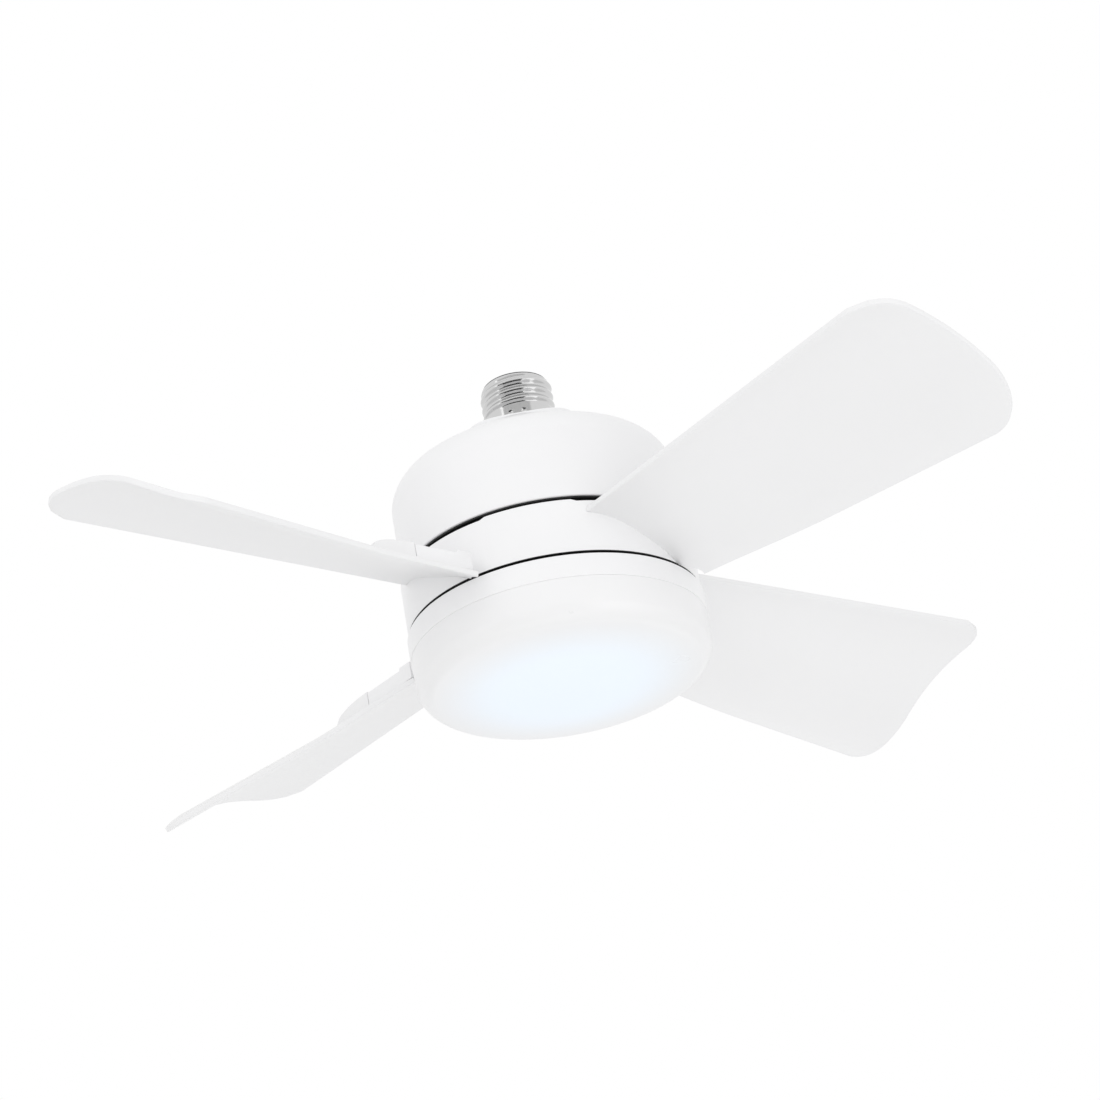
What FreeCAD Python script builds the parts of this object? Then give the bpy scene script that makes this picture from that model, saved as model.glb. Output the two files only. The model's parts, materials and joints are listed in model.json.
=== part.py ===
"""A screw-in ceiling fan light: an E27 lamp base, a fixed domed housing, a spinning drum with four
pitched blades, and a fixed opal lamp under it.

Millimetres, +Z up. The origin is the centre of the round boss that the screw base stands on, so the
base goes up from it and the fan hangs down. Blade 1 points to azimuth -45 degrees.
"""
import FreeCAD, Part
import math
import os

import Sketcher

Vector = FreeCAD.Vector
Placement = FreeCAD.Placement
Rotation = FreeCAD.Rotation

doc = FreeCAD.newDocument("FanLight")
sheet = doc.addObject("Spreadsheet::Sheet", "Dims")

# ---------------------------------------------------------------------------------------------
# Driving dimensions
# ---------------------------------------------------------------------------------------------
DIMENSIONS = {
    # screw base: an E27 cap
    "thread_radius": 13.2, "thread_pitch": 3.63, "thread_depth": 0.95, "thread_turns": 4,
    "shell_height": 20.75, "shell_wall": 0.35, "skirt_height": 4.4, "neck_clearance": 0.1,
    "insulator_height": 2.0, "contact_radius": 5.2, "contact_height": 1.4, "lead_radius": 0.7,
    # upper housing: straight wall, cone-shaped crown and a low boss under the screw base
    "housing_radius": 51.4, "housing_depth": 50.6, "housing_wall": 2.2, "crown_slope": 28.6,
    "shoulder_round": 10.5, "boss_radius": 21.8, "boss_step": 1.3, "rim_bevel": 0.5,
    # plate that closes the housing and carries the shaft
    "plate_thickness": 2.0, "plate_recess": 2.4, "plate_gap": 0.2, "column_radius": 3.4,
    "column_height": 14.0, "flange_thickness": 0.6, "flange_inset": 0.8,
    # driver board and what stands on it
    "board_radius": 37.0, "board_thickness": 1.6, "board_height": 17.0, "post_radius": 3.2,
    "post_circle": 31.0, "capacitor_radius": 6.3, "capacitor_height": 16.0,
    # hollow shaft, nuts and bearings
    "shaft_radius": 6.0, "shaft_bore": 3.2, "shaft_shoulder": 7.8, "shaft_tail": 5.6,
    "nut_flats": 17.0, "nut_height": 4.0, "bearing_width": 5.0, "bearing_radius": 10.5,
    "ball_radius": 1.2, "ball_count": 9, "race_wall": 1.3, "fit_clearance": 0.05,
    "cage_wall": 0.9,
    # spinning drum
    "drum_radius": 52.5, "drum_height": 20.7, "drum_wall": 2.0, "drum_floor": 1.8,
    "upper_gap": 1.7, "lower_gap": 0.5, "rim_notch": 0.7, "rim_notch_angle": 54.0, "rim_notch_lead": 4.0,
    # motor
    "cup_radius": 39.0, "cup_wall": 1.3, "cup_drop": 1.7, "cup_flange": 5.0, "magnet_thickness": 2.6,
    "magnet_count": 16, "magnet_height": 9.0, "air_gap": 0.5, "tooth_count": 12, "stack_height": 7.0,
    "tooth_width": 5.0, "tooth_tip": 2.0, "slot_opening": 3.0, "yoke_radius": 15.0, "coil_wall": 2.4,
    # lamp
    "lamp_radius": 53.2, "ring_height": 9.0, "ring_wall": 1.8, "pan_thickness": 1.5,
    "led_board_thickness": 1.6, "led_board_radius": 47.0, "led_board_bore": 13.0, "led_count": 24,
    "led_size": 3.0, "diffuser_radius": 52.3, "diffuser_wall": 1.8, "diffuser_drop": 12.8,
    "diffuser_crown": 5.4, "diffuser_round": 7.0, "diffuser_spigot": 4.0,
    # blades: the high edge is at the minus side, the low edge at the plus side
    "blade_tip": 200.0, "blade_thickness": 2.0, "blade_root": 44.5, "blade_clearance": 0.15,
    "high_corner_round": 14.0, "low_corner_round": 19.0, "tab_low": -21.0, "tab_high": 9.0,
    "root_relief": 1.0,
    # arm that holds each blade, lying on its upper face near the low edge
    "arm_width": 6.4, "arm_height": 4.3, "arm_end": 79.0, "arm_side": 18.0, "tongue_height": 3.4,
    "fin_length": 17.0, "fin_width": 1.8,
    # fasteners
    "screw_radius": 1.1, "screw_head_radius": 2.1, "screw_head_height": 1.3,
}
for row, (alias, number) in enumerate(DIMENSIONS.items(), start=1):
    sheet.set(f"A{row}", alias)
    sheet.set(f"B{row}", str(number))
    sheet.setAlias(f"B{row}", alias)
doc.recompute()


class Size:
    """A length in mm that also carries the sheet formula it comes from."""

    def __init__(self, value, formula):
        self.value = float(value)
        self.formula = formula

    def joined(self, other, sign, value):
        return Size(value, f"({self.formula} {sign} {as_size(other).formula})")

    def __add__(self, other):
        return self.joined(other, "+", self.value + as_size(other).value)

    def __sub__(self, other):
        return self.joined(other, "-", self.value - as_size(other).value)

    def __mul__(self, other):
        return self.joined(other, "*", self.value * as_size(other).value)

    def __truediv__(self, other):
        return self.joined(other, "/", self.value / as_size(other).value)

    def __neg__(self):
        return Size(-self.value, f"(0 - {self.formula})")


def as_size(number):
    """A Size as it is, or a plain number as a Size."""
    return number if isinstance(number, Size) else Size(number, f"{number:.6f}")


def dim(alias):
    """The Size of one cell of the sheet."""
    return Size(float(sheet.get(alias)), f"Dims.{alias}")


def slope(alias):
    """The rise per unit run of a slope that the sheet gives in degrees."""
    return Size(math.tan(math.radians(float(sheet.get(alias)))), f"tan(Dims.{alias} * 1 deg)")


# ---------------------------------------------------------------------------------------------
# Levels that several pieces share
# ---------------------------------------------------------------------------------------------
ZERO = as_size(0)
BLADE_AZIMUTHS = [-45.0, 45.0, 135.0, 225.0]
shell_top = dim("shell_height")
boss_foot = -dim("boss_step")
crown_corner = boss_foot - (dim("housing_radius") - dim("boss_radius")) * slope("crown_slope")
housing_rim = -dim("housing_depth")
plate_low = housing_rim + dim("plate_recess")
plate_high = plate_low + dim("plate_thickness")
board_low = plate_high + dim("board_height")
board_high = board_low + dim("board_thickness")
drum_top = housing_rim - dim("upper_gap")
drum_low = drum_top - dim("drum_height")
cup_top = drum_top - dim("cup_drop")
cup_inside = cup_top - dim("cup_wall")
upper_bearing_top = cup_top
upper_bearing_low = upper_bearing_top - dim("bearing_width")
lower_bearing_low = drum_low
lower_bearing_top = lower_bearing_low + dim("bearing_width")
stack_middle = (upper_bearing_low + lower_bearing_top) / 2
cup_foot = drum_low + dim("drum_floor")
ring_top = drum_low - dim("lower_gap")
ring_low = ring_top - dim("ring_height")
pan_top = ring_top - 1.0
pan_low = pan_top - dim("pan_thickness")
led_board_low = pan_low - dim("led_board_thickness")
diffuser_corner = ring_low - dim("diffuser_drop")

# ---------------------------------------------------------------------------------------------
# Ways to make a piece
# ---------------------------------------------------------------------------------------------
nodes = {}


def keep(name, thing):
    """Name a finished piece; its name is also its file's."""
    thing.Label = name
    nodes[name] = thing
    return thing


def new_body(name):
    return doc.addObject("PartDesign::Body", name + "_body")


def plane_of(body, role):
    return [item for item in body.Origin.OriginFeatures if item.Role == role][0]


def new_sketch(body, role, lift=None):
    """A sketch on one of the body's own planes, lifted along that plane's normal."""
    sketch = body.newObject("Sketcher::SketchObject", body.Name + "_sketch")
    sketch.AttachmentSupport = [(plane_of(body, role), "")]
    sketch.MapMode = "FlatFace"
    if lift is not None:
        sketch.AttachmentOffset = Placement(Vector(0, 0, lift.value), Rotation())
        sketch.setExpression(".AttachmentOffset.Base.z", lift.formula)
    return sketch


def bind(sketch, kind, *where_and_size):
    """One sized constraint, tied to the sheet."""
    *where, size = where_and_size
    index = sketch.addConstraint(Sketcher.Constraint(kind, *where, size.value))
    sketch.setExpression(f"Constraints[{index}]", size.formula)


def draw_outline(sketch, corners):
    """A closed outline. A corner is a pair of Sizes, and a third one rounds it by an arc of that radius."""
    corners = [[as_size(number) for number in corner] for corner in corners]
    places = [Vector(corner[0].value, corner[1].value, 0) for corner in corners]
    count = len(corners)
    line_ends, line_starts = list(places), list(places)
    for index, corner in enumerate(corners):
        if len(corner) == 3:
            back, onward = [(places[(index + step) % count] - places[index]).normalize() for step in (-1, 1)]
            reach = corner[2].value / math.tan(back.getAngle(onward) / 2)
            line_ends[index] = places[index] + back * reach
            line_starts[index] = places[index] + onward * reach
    first = sketch.GeometryCount
    for index in range(count):
        sketch.addGeometry(Part.LineSegment(line_starts[index], line_ends[(index + 1) % count]), False)
    for index, corner in enumerate(corners):
        before, after = first + (index - 1) % count, first + index
        if len(corner) == 3:
            marked = draw_corner_arc(sketch, before, after, line_ends[index], line_starts[index], places[index], corner[2])
        else:
            sketch.addConstraint(Sketcher.Constraint("Coincident", before, 2, after, 1))
            marked = after
        bind(sketch, "DistanceX", -1, 1, marked, 1, corner[0])
        bind(sketch, "DistanceY", -1, 1, marked, 1, corner[1])
    return sketch


def draw_corner_arc(sketch, before, after, start, end, corner, radius):
    """An arc tangent to two lines, and a construction point where the lines would meet."""
    inward = ((start - corner) + (end - corner)).normalize()
    half_angle = (start - corner).getAngle(end - corner) / 2
    centre = corner + inward * (radius.value / math.sin(half_angle))
    counterclockwise = (start - centre).cross(end - centre).z > 0
    low, high = (start, end) if counterclockwise else (end, start)
    angles = [math.atan2(place.y - centre.y, place.x - centre.x) for place in (low, high)]
    circle = Part.Circle(centre, Vector(0, 0, 1), radius.value)
    arc = sketch.addGeometry(Part.ArcOfCircle(circle, angles[0], angles[0] + (angles[1] - angles[0]) % (2 * math.pi)))
    sketch.addConstraint(Sketcher.Constraint("Tangent", before, 2, arc, 1 if counterclockwise else 2))
    sketch.addConstraint(Sketcher.Constraint("Tangent", after, 1, arc, 2 if counterclockwise else 1))
    bind(sketch, "Radius", arc, radius)
    point = sketch.addGeometry(Part.Point(corner), True)
    sketch.addConstraint(Sketcher.Constraint("PointOnObject", point, 1, before))
    sketch.addConstraint(Sketcher.Constraint("PointOnObject", point, 1, after))
    return point


def draw_circle(sketch, across, up, radius):
    across, up, radius = as_size(across), as_size(up), as_size(radius)
    index = sketch.addGeometry(Part.Circle(Vector(across.value, up.value, 0), Vector(0, 0, 1), radius.value), False)
    bind(sketch, "Radius", index, radius)
    bind(sketch, "DistanceX", -1, 1, index, 3, across)
    bind(sketch, "DistanceY", -1, 1, index, 3, up)


def revolve(body, corners):
    """Turn an outline of (radius, height) corners about the Z axis."""
    turned = body.newObject("PartDesign::Revolution", body.Name + "_turn")
    turned.Profile = draw_outline(new_sketch(body, "XZ_Plane"), corners)
    turned.ReferenceAxis = (turned.Profile[0], ["V_Axis"])
    turned.Angle = 360
    doc.recompute()
    return turned


def pad(body, sketch, height):
    """Raise a sketch by a height."""
    raised = body.newObject("PartDesign::Pad", body.Name + "_pad")
    raised.Profile = sketch
    raised.setExpression("Length", height.formula)
    doc.recompute()
    return raised


def pocket_up(body, sketch, depth):
    """Cut a sketch upwards into the piece."""
    before = body.Shape.Volume
    pocket = body.newObject("PartDesign::Pocket", body.Name + "_pocket")
    pocket.Profile = sketch
    pocket.setExpression("Length", depth.formula)
    pocket.Reversed = True
    doc.recompute()
    if body.Shape.Volume >= before:
        raise RuntimeError(f"{body.Name}: the pocket cut nothing")
    return pocket


def turn_pattern(body, feature, count):
    """Repeat a feature evenly about the Z axis."""
    pattern = body.newObject("PartDesign::PolarPattern", body.Name + "_pattern")
    pattern.Originals = [feature]
    pattern.Axis = (plane_of(body, "Z_Axis"), [""])
    pattern.Angle = 360
    pattern.setExpression("Occurrences", as_size(count).formula)
    body.Tip = pattern
    doc.recompute()
    return pattern


def turned_piece(name, corners):
    """A whole piece made by turning one outline."""
    body = new_body(name)
    revolve(body, corners)
    return keep(name, body)


def washer_piece(name, outer, inner, low, high):
    return turned_piece(name, [(inner, low), (outer, low), (outer, high), (inner, high)])


def cylinder(name, radius, low, high, across=ZERO, along=ZERO):
    """A plain upright cylinder, as a building block."""
    radius, low, high = as_size(radius), as_size(low), as_size(high)
    across, along = as_size(across), as_size(along)
    rod = doc.addObject("Part::Cylinder", name)
    rod.setExpression("Radius", radius.formula)
    rod.setExpression("Height", (high - low).formula)
    rod.setExpression(".Placement.Base.x", across.formula)
    rod.setExpression(".Placement.Base.y", along.formula)
    rod.setExpression(".Placement.Base.z", low.formula)
    return rod


def box(name, low, high):
    """A block between two corners of Sizes, as a building block."""
    low = [as_size(number) for number in low]
    high = [as_size(number) for number in high]
    block = doc.addObject("Part::Box", name)
    for side, start, end in zip(("Length", "Width", "Height"), low, high):
        block.setExpression(side, (end - start).formula)
    for axis, start in zip("xyz", low):
        block.setExpression(f".Placement.Base.{axis}", start.formula)
    return block


def fuse(name, pieces):
    joined = doc.addObject("Part::MultiFuse", name)
    joined.Shapes = pieces
    return joined


def cut(name, base, tool):
    result = doc.addObject("Part::Cut", name)
    result.Base = base
    result.Tool = tool
    return result


def ring_of(name, piece, count, start=0.0):
    """A group of separate copies of one piece, evenly spaced about the Z axis."""
    group = doc.addObject("Part::Feature", name)
    doc.recompute()
    copies = []
    for index in range(count):
        copy = piece.Shape.copy()
        copy.rotate(Vector(0, 0, 0), Vector(0, 0, 1), start + 360.0 * index / count)
        copies.append(copy)
    group.Shape = Part.makeCompound(copies)
    return keep(name, group)


def screw(name, radius_place, side_place, head_top, length, upside_down=False):
    """A screw with a flat round head, standing at one place; the tip points down unless turned over."""
    sign = -1 if upside_down else 1
    head_end = head_top - dim("screw_head_height") * sign
    tip = head_top - as_size(length) * sign
    low, high = (head_end, head_top) if sign > 0 else (head_top, head_end)
    head = cylinder(name + "_head", dim("screw_head_radius"), low, high, radius_place, side_place)
    low, high = (tip, head_end) if sign > 0 else (head_end, tip)
    shank = cylinder(name + "_shank", dim("screw_radius"), low, high, radius_place, side_place)
    return fuse(name + "_one", [head, shank])


# ---------------------------------------------------------------------------------------------
# Screw base
# ---------------------------------------------------------------------------------------------
def make_screw_base():
    outer = dim("thread_radius")
    root = outer - dim("thread_depth")
    wall = dim("shell_wall")
    neck = root - wall - dim("neck_clearance")
    turns = int(dim("thread_turns").value)
    pitch = dim("thread_pitch")
    thread_low = shell_top - pitch * turns - 1.2
    # the shell's wall goes in and out once per turn, inside and outside alike
    outside = [(root, ZERO - 1.0), (root, thread_low)]
    for index in range(turns):
        crest = thread_low + pitch * index + pitch / 2
        outside.append((outer, crest - 0.45))
        outside.append((outer, crest + 0.45))
        outside.append((root, thread_low + pitch * (index + 1)))
    outside.append((root - 0.4, shell_top))
    inside = [(radius - wall, height) for radius, height in reversed(outside)]
    turned_piece("screw_shell", outside + inside)

    # insulating cone between the shell's rim and the contact
    rim = root - 0.4
    cone_top = shell_top + dim("insulator_height")
    contact = dim("contact_radius")
    turned_piece("base_insulator", [
        (contact * 0.45, shell_top - 1.6), (rim - wall - 0.1, shell_top - 1.6), (rim - wall - 0.1, shell_top),
        (rim, shell_top), (contact, cone_top), (contact * 0.45, cone_top)])
    turned_piece("centre_contact", [
        (ZERO, cone_top), (contact * 0.9, cone_top), (contact * 0.8, cone_top + dim("contact_height")),
        (ZERO, cone_top + dim("contact_height"))])
    return neck, thread_low


neck_radius, thread_low = make_screw_base()
contact_top = shell_top + dim("insulator_height") + dim("contact_height")


# ---------------------------------------------------------------------------------------------
# Upper housing and the plate that closes it
# ---------------------------------------------------------------------------------------------
def make_upper_housing():
    radius, wall = dim("housing_radius"), dim("housing_wall")
    boss, rise = dim("boss_radius"), slope("crown_slope")
    bore = neck_radius - 1.6
    # the wall is as thick across the cone as it is at the side
    drop = wall * math.sqrt(1 + rise.value ** 2)
    inner = radius - wall
    inner_corner = crown_corner + wall * rise - drop
    inner_boss = boss - wall
    inner_top = inner_corner + (inner - inner_boss) * rise
    groove = dim("thread_radius") - dim("thread_depth") + 0.05
    bevel = dim("rim_bevel")
    housing = turned_piece("upper_housing", [
        (radius - bevel, housing_rim), (radius, housing_rim + bevel), (radius, crown_corner, dim("shoulder_round")),
        (boss, boss_foot), (boss, ZERO), (groove, ZERO), (groove, ZERO - 1.0), (neck_radius, ZERO - 1.0),
        (neck_radius, shell_top - 2.0), (bore, shell_top - 2.0), (bore, inner_top), (inner_boss, inner_top),
        (inner, inner_corner, dim("shoulder_round") - wall), (inner, housing_rim)])
    # three columns inside the wall take the floor plate's screws
    sketch = new_sketch(housing, "XY_Plane", plate_high)
    draw_circle(sketch, *column_place(), dim("column_radius"))
    draw_circle(sketch, *column_place(), dim("screw_radius"))
    turn_pattern(housing, pad(housing, sketch, dim("column_height")), 3)


def make_floor_plate():
    radius = dim("housing_radius") - dim("housing_wall") - dim("plate_gap")
    hole = dim("shaft_radius")
    plate = new_body("housing_floor_plate")
    # its flange closes the housing's rim from below and shows as the dark band over the drum
    flange = dim("housing_radius") - dim("flange_inset")
    flange_low = housing_rim - dim("flange_thickness")
    skirt = radius - dim("flange_thickness") * 2
    revolve(plate, [
        (hole, plate_low), (skirt, plate_low), (skirt, flange_low), (flange, flange_low), (flange, housing_rim),
        (radius, housing_rim), (radius, plate_high), (hole, plate_high)])
    post_sketch = new_sketch(plate, "XY_Plane", plate_high)
    draw_circle(post_sketch, dim("post_circle"), ZERO, dim("post_radius"))
    draw_circle(post_sketch, dim("post_circle"), ZERO, dim("screw_radius"))
    turn_pattern(plate, pad(plate, post_sketch, dim("board_height")), 3)
    for name, size, depth in (("shank", dim("screw_radius"), dim("plate_thickness")),
                              ("head", dim("screw_head_radius"), dim("screw_head_height"))):
        screw_sketch = new_sketch(plate, "XY_Plane", plate_low)
        draw_circle(screw_sketch, *column_place(), size)
        turn_pattern(plate, pocket_up(plate, screw_sketch, depth), 3)
    return keep("housing_floor_plate", plate)


def column_place():
    """Where the first of the three screw columns stands in the housing."""
    circle = dim("housing_radius") - dim("housing_wall") - dim("column_radius") + 0.8
    return circle * math.cos(math.radians(60)), circle * math.sin(math.radians(60))


make_upper_housing()
make_floor_plate()


# ---------------------------------------------------------------------------------------------
# Driver board
# ---------------------------------------------------------------------------------------------
def make_driver():
    board = washer_piece("driver_board", dim("board_radius"), dim("lead_radius") * 12, board_low, board_high)
    hole_sketch = new_sketch(board, "XY_Plane", board_low)
    draw_circle(hole_sketch, dim("post_circle"), ZERO, dim("screw_radius"))
    turn_pattern(board, pocket_up(board, hole_sketch, dim("board_thickness")), 3)
    capacitor = dim("capacitor_radius")
    turned = new_body("smoothing_capacitor")
    sketch = new_sketch(turned, "XY_Plane", board_high)
    draw_circle(sketch, ZERO, ZERO + 19.0, capacitor)
    pad(turned, sketch, dim("capacitor_height"))
    keep("smoothing_capacitor", turned)
    keep("transformer", box("transformer_block", (-9.5, -27.0, board_high), (9.5, -11.5, board_high + 13.0)))
    keep("bridge_rectifier", box("rectifier_block", (-25.0, -4.0, board_high), (-20.0, 4.0, board_high + 4.0)))
    chips = [box("chip_a", (15.0, -3.0, board_high), (21.0, 3.0, board_high + 1.8)),
             box("chip_b", (-19.0, 11.0, board_high), (-12.0, 16.0, board_high + 1.8)),
             box("chip_c", (13.0, 9.0, board_high), (18.0, 14.0, board_high + 1.8))]
    keep("driver_chips", fuse("driver_chips_group", chips))
    sockets = [box("socket_a", (-16.0, -4.0, board_low - 5.0), (-11.0, 4.0, board_low)),
               box("socket_b", (11.0, -4.0, board_low - 5.0), (16.0, 4.0, board_low))]
    keep("plug_sockets", fuse("plug_sockets_group", sockets))
    lead = cylinder("base_lead", dim("lead_radius"), board_high - dim("board_thickness"),
                    shell_top - 2.2, dim("lead_radius") * 12 - 2.0)
    return lead


base_lead = make_driver()
ring_of("base_leads", base_lead, 2)
post_screw = screw("post_screw", dim("post_circle"), ZERO, board_high + dim("screw_head_height"),
                   dim("screw_head_height") + dim("board_thickness") + dim("board_height") / 3)
ring_of("board_screws", post_screw, 3)
plate_screw = screw("plate_screw", *column_place(), plate_low, dim("plate_thickness") + dim("column_height") / 2,
                    upside_down=True)
ring_of("housing_screws", plate_screw, 3)


# ---------------------------------------------------------------------------------------------
# Hollow shaft, nuts and bearings
# ---------------------------------------------------------------------------------------------
nut_seat_low = pan_low
shaft_top = plate_high + dim("nut_height") + 1.5
shaft_low = nut_seat_low - dim("nut_height") - 1.0


def make_shaft():
    bore, radius = dim("shaft_bore"), dim("shaft_radius")
    turned_piece("motor_shaft", [
        (bore, shaft_low), (dim("shaft_tail"), shaft_low), (dim("shaft_tail"), lower_bearing_low),
        (radius, lower_bearing_low), (radius, upper_bearing_top), (dim("shaft_shoulder"), upper_bearing_top),
        (dim("shaft_shoulder"), plate_low), (radius, plate_low), (radius, shaft_top), (bore, shaft_top)])


def make_nut(name, low, hole):
    """A hexagon nut round the shaft."""
    body = new_body(name)
    sketch = new_sketch(body, "XY_Plane", low)
    across_corners = dim("nut_flats") / math.sqrt(3)
    corners = []
    for index in range(6):
        angle = math.radians(60 * index)
        corners.append((across_corners * math.cos(angle), across_corners * math.sin(angle)))
    draw_outline(sketch, corners)
    draw_circle(sketch, ZERO, ZERO, hole)
    pad(body, sketch, dim("nut_height"))
    keep(name, body)


def make_bearing(name, low):
    """A ball bearing: inner ring, outer ring, and the balls that run between them in a cage."""
    high = low + dim("bearing_width")
    middle = low + dim("bearing_width") / 2
    bore, outer, wall = dim("shaft_radius"), dim("bearing_radius"), dim("race_wall")
    pitch_radius = (bore + outer) / 2
    ball, play = dim("ball_radius"), dim("fit_clearance")
    groove = ball * 0.6
    inner_edge, outer_edge = bore + wall, outer - wall
    inner_floor = pitch_radius - ball - play
    outer_floor = pitch_radius + ball + play
    turned_piece(name + "_inner_ring", [
        (bore, low), (inner_edge, low), (inner_edge, middle - groove), (inner_floor, middle - groove * 0.5),
        (inner_floor, middle + groove * 0.5), (inner_edge, middle + groove), (inner_edge, high), (bore, high)])
    turned_piece(name + "_outer_ring", [
        (outer, low), (outer, high), (outer_edge, high), (outer_edge, middle + groove),
        (outer_floor, middle + groove * 0.5), (outer_floor, middle - groove * 0.5),
        (outer_edge, middle - groove), (outer_edge, low)])
    count = int(dim("ball_count").value)
    ball_piece = doc.addObject("Part::Sphere", name + "_ball")
    ball_piece.setExpression("Radius", ball.formula)
    ball_piece.setExpression(".Placement.Base.x", pitch_radius.formula)
    ball_piece.setExpression(".Placement.Base.z", middle.formula)
    ring_of(name + "_balls", ball_piece, count)
    # the cage is a thin ring between the rings, with a round pocket for each ball
    cage_wall = dim("cage_wall")
    cage_half = ball + play + 0.5
    cage = turned_piece(name + "_cage", [
        (pitch_radius - cage_wall / 2, middle - cage_half), (pitch_radius + cage_wall / 2, middle - cage_half),
        (pitch_radius + cage_wall / 2, middle + cage_half), (pitch_radius - cage_wall / 2, middle + cage_half)])
    sketch = new_sketch(cage, "YZ_Plane")
    draw_circle(sketch, ZERO, middle, ball + play)
    before = cage.Shape.Volume
    hole = cage.newObject("PartDesign::Pocket", name + "_cage_hole")
    hole.Profile = sketch
    hole.setExpression("Length", outer.formula)
    hole.Reversed = True
    doc.recompute()
    if cage.Shape.Volume >= before:
        raise RuntimeError(f"{name}: the cage has no pocket")
    turn_pattern(cage, hole, count)


make_shaft()
make_nut("shaft_nut", plate_high, dim("shaft_radius"))
make_nut("lamp_nut", pan_low - dim("nut_height"), dim("shaft_tail"))
make_bearing("upper_bearing", upper_bearing_low)
make_bearing("lower_bearing", lower_bearing_low)
lamp_lead = cylinder("lamp_lead", dim("lead_radius"), shaft_low - 1.0, shaft_top + 2.0, dim("shaft_bore") / 2)
ring_of("lamp_leads", lamp_lead, 2)


# ---------------------------------------------------------------------------------------------
# Motor: slotted stator on the fixed shaft, magnets in a spinning steel cup
# ---------------------------------------------------------------------------------------------
magnet_outer = dim("cup_radius") - dim("cup_wall")
magnet_inner = magnet_outer - dim("magnet_thickness")
stator_radius = magnet_inner - dim("air_gap")
stack_low = stack_middle - dim("stack_height") / 2
stack_high = stack_middle + dim("stack_height") / 2


def make_stator():
    teeth = int(dim("tooth_count").value)
    body = new_body("stator_core")
    revolve(body, [(dim("shaft_radius"), stack_low), (dim("yoke_radius"), stack_low),
                   (dim("yoke_radius"), stack_high), (dim("shaft_radius"), stack_high)])
    sketch = new_sketch(body, "XY_Plane", stack_low)
    half = dim("tooth_width") / 2
    spread = stator_radius * math.sin(math.pi / teeth) - dim("slot_opening") / 2
    face = stator_radius * math.cos(math.pi / teeth)
    shoe = face - dim("tooth_tip")
    start = dim("yoke_radius") - 1.0
    draw_outline(sketch, [(start, -half), (shoe, -half), (face - 1.0, -spread), (face, -spread),
                          (stator_radius - 0.15, ZERO), (face, spread), (face - 1.0, spread), (shoe, half),
                          (start, half)])
    tooth = pad(body, sketch, dim("stack_height"))
    turn_pattern(body, tooth, teeth)
    keep("stator_core", body)

    # one coil per tooth: a block round the tooth, with the tooth's section cut out of it
    wall = dim("coil_wall")
    # the coils start where they just clear the ones beside them
    coil_in = (half + wall) / math.tan(math.pi / teeth) + 0.2
    coil_out = shoe - 0.6
    fit = 0.1
    block = box("coil_block", (coil_in, -(half + wall), stack_low - wall), (coil_out, half + wall, stack_high + wall))
    window = box("coil_window", (coil_in - 1.0, -(half + fit), stack_low - fit),
                 (coil_out + 1.0, half + fit, stack_high + fit))
    one = cut("coil_one", block, window)
    ring_of("stator_coils", one, teeth)


def make_rotor():
    cup, wall = dim("cup_radius"), dim("cup_wall")
    pocket = dim("bearing_radius")
    boss = pocket + 2.0
    body = turned_piece("rotor_cup", [
        (pocket, upper_bearing_low), (boss, upper_bearing_low), (boss, cup_inside), (cup - wall, cup_inside),
        (cup - wall, cup_foot), (cup + dim("cup_flange"), cup_foot), (cup + dim("cup_flange"), cup_foot + wall),
        (cup, cup_foot + wall), (cup, cup_top), (pocket, cup_top)])
    sketch = new_sketch(body, "XY_Plane", cup_foot)
    draw_circle(sketch, cup + dim("cup_flange") / 2, ZERO, dim("screw_radius"))
    turn_pattern(body, pocket_up(body, sketch, wall), len(BLADE_AZIMUTHS))
    count = int(dim("magnet_count").value)
    half_angle = math.radians(180.0 / count)
    low, high = stack_middle - dim("magnet_height") / 2, stack_middle + dim("magnet_height") / 2
    body = new_body("magnet")
    whole = revolve(body, [(magnet_inner, low), (magnet_outer, low), (magnet_outer, high), (magnet_inner, high)])
    whole.Angle = math.degrees(half_angle) * 1.86
    doc.recompute()
    ring_of("rotor_magnets", body, count)


make_stator()
make_rotor()


# ---------------------------------------------------------------------------------------------
# Blades. Each is drawn along +X: its cross-sections are S-shaped, flat at the high edge, steep in
# the middle and flat again at the low edge, and they widen towards the tip.
# ---------------------------------------------------------------------------------------------
# across and height of the middle surface's four control points, from the drum's lower edge
ROOT_PLACE = 50.0
ROOT_SECTION = [(-24.7, 15.6), (-6.3, 15.4), (9.2, 1.4), (21.5, -4.8)]
TIP_SECTION = [(-32.2, 17.4), (14.0, 11.9), (26.3, -12.4), (40.0, -8.6)]
blade_base = drum_low.value
# how far past the blade its cutting tools reach, sideways and up or down
CORNER_MARGIN = 12.0
BLADE_REACH = 40.0


def control_points(place):
    """The section's control points at any place along the blade, between the two given sections."""
    share = (place - ROOT_PLACE) / (dim("blade_tip").value - ROOT_PLACE)
    points = []
    for (root_across, root_height), (tip_across, tip_height) in zip(ROOT_SECTION, TIP_SECTION):
        across = root_across + (tip_across - root_across) * share
        height = root_height + (tip_height - root_height) * share
        points.append(Vector(place, across, blade_base + height))
    return points


def bezier(points):
    curve = Part.BezierCurve()
    curve.setPoles(points)
    return curve.toShape()


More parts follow.
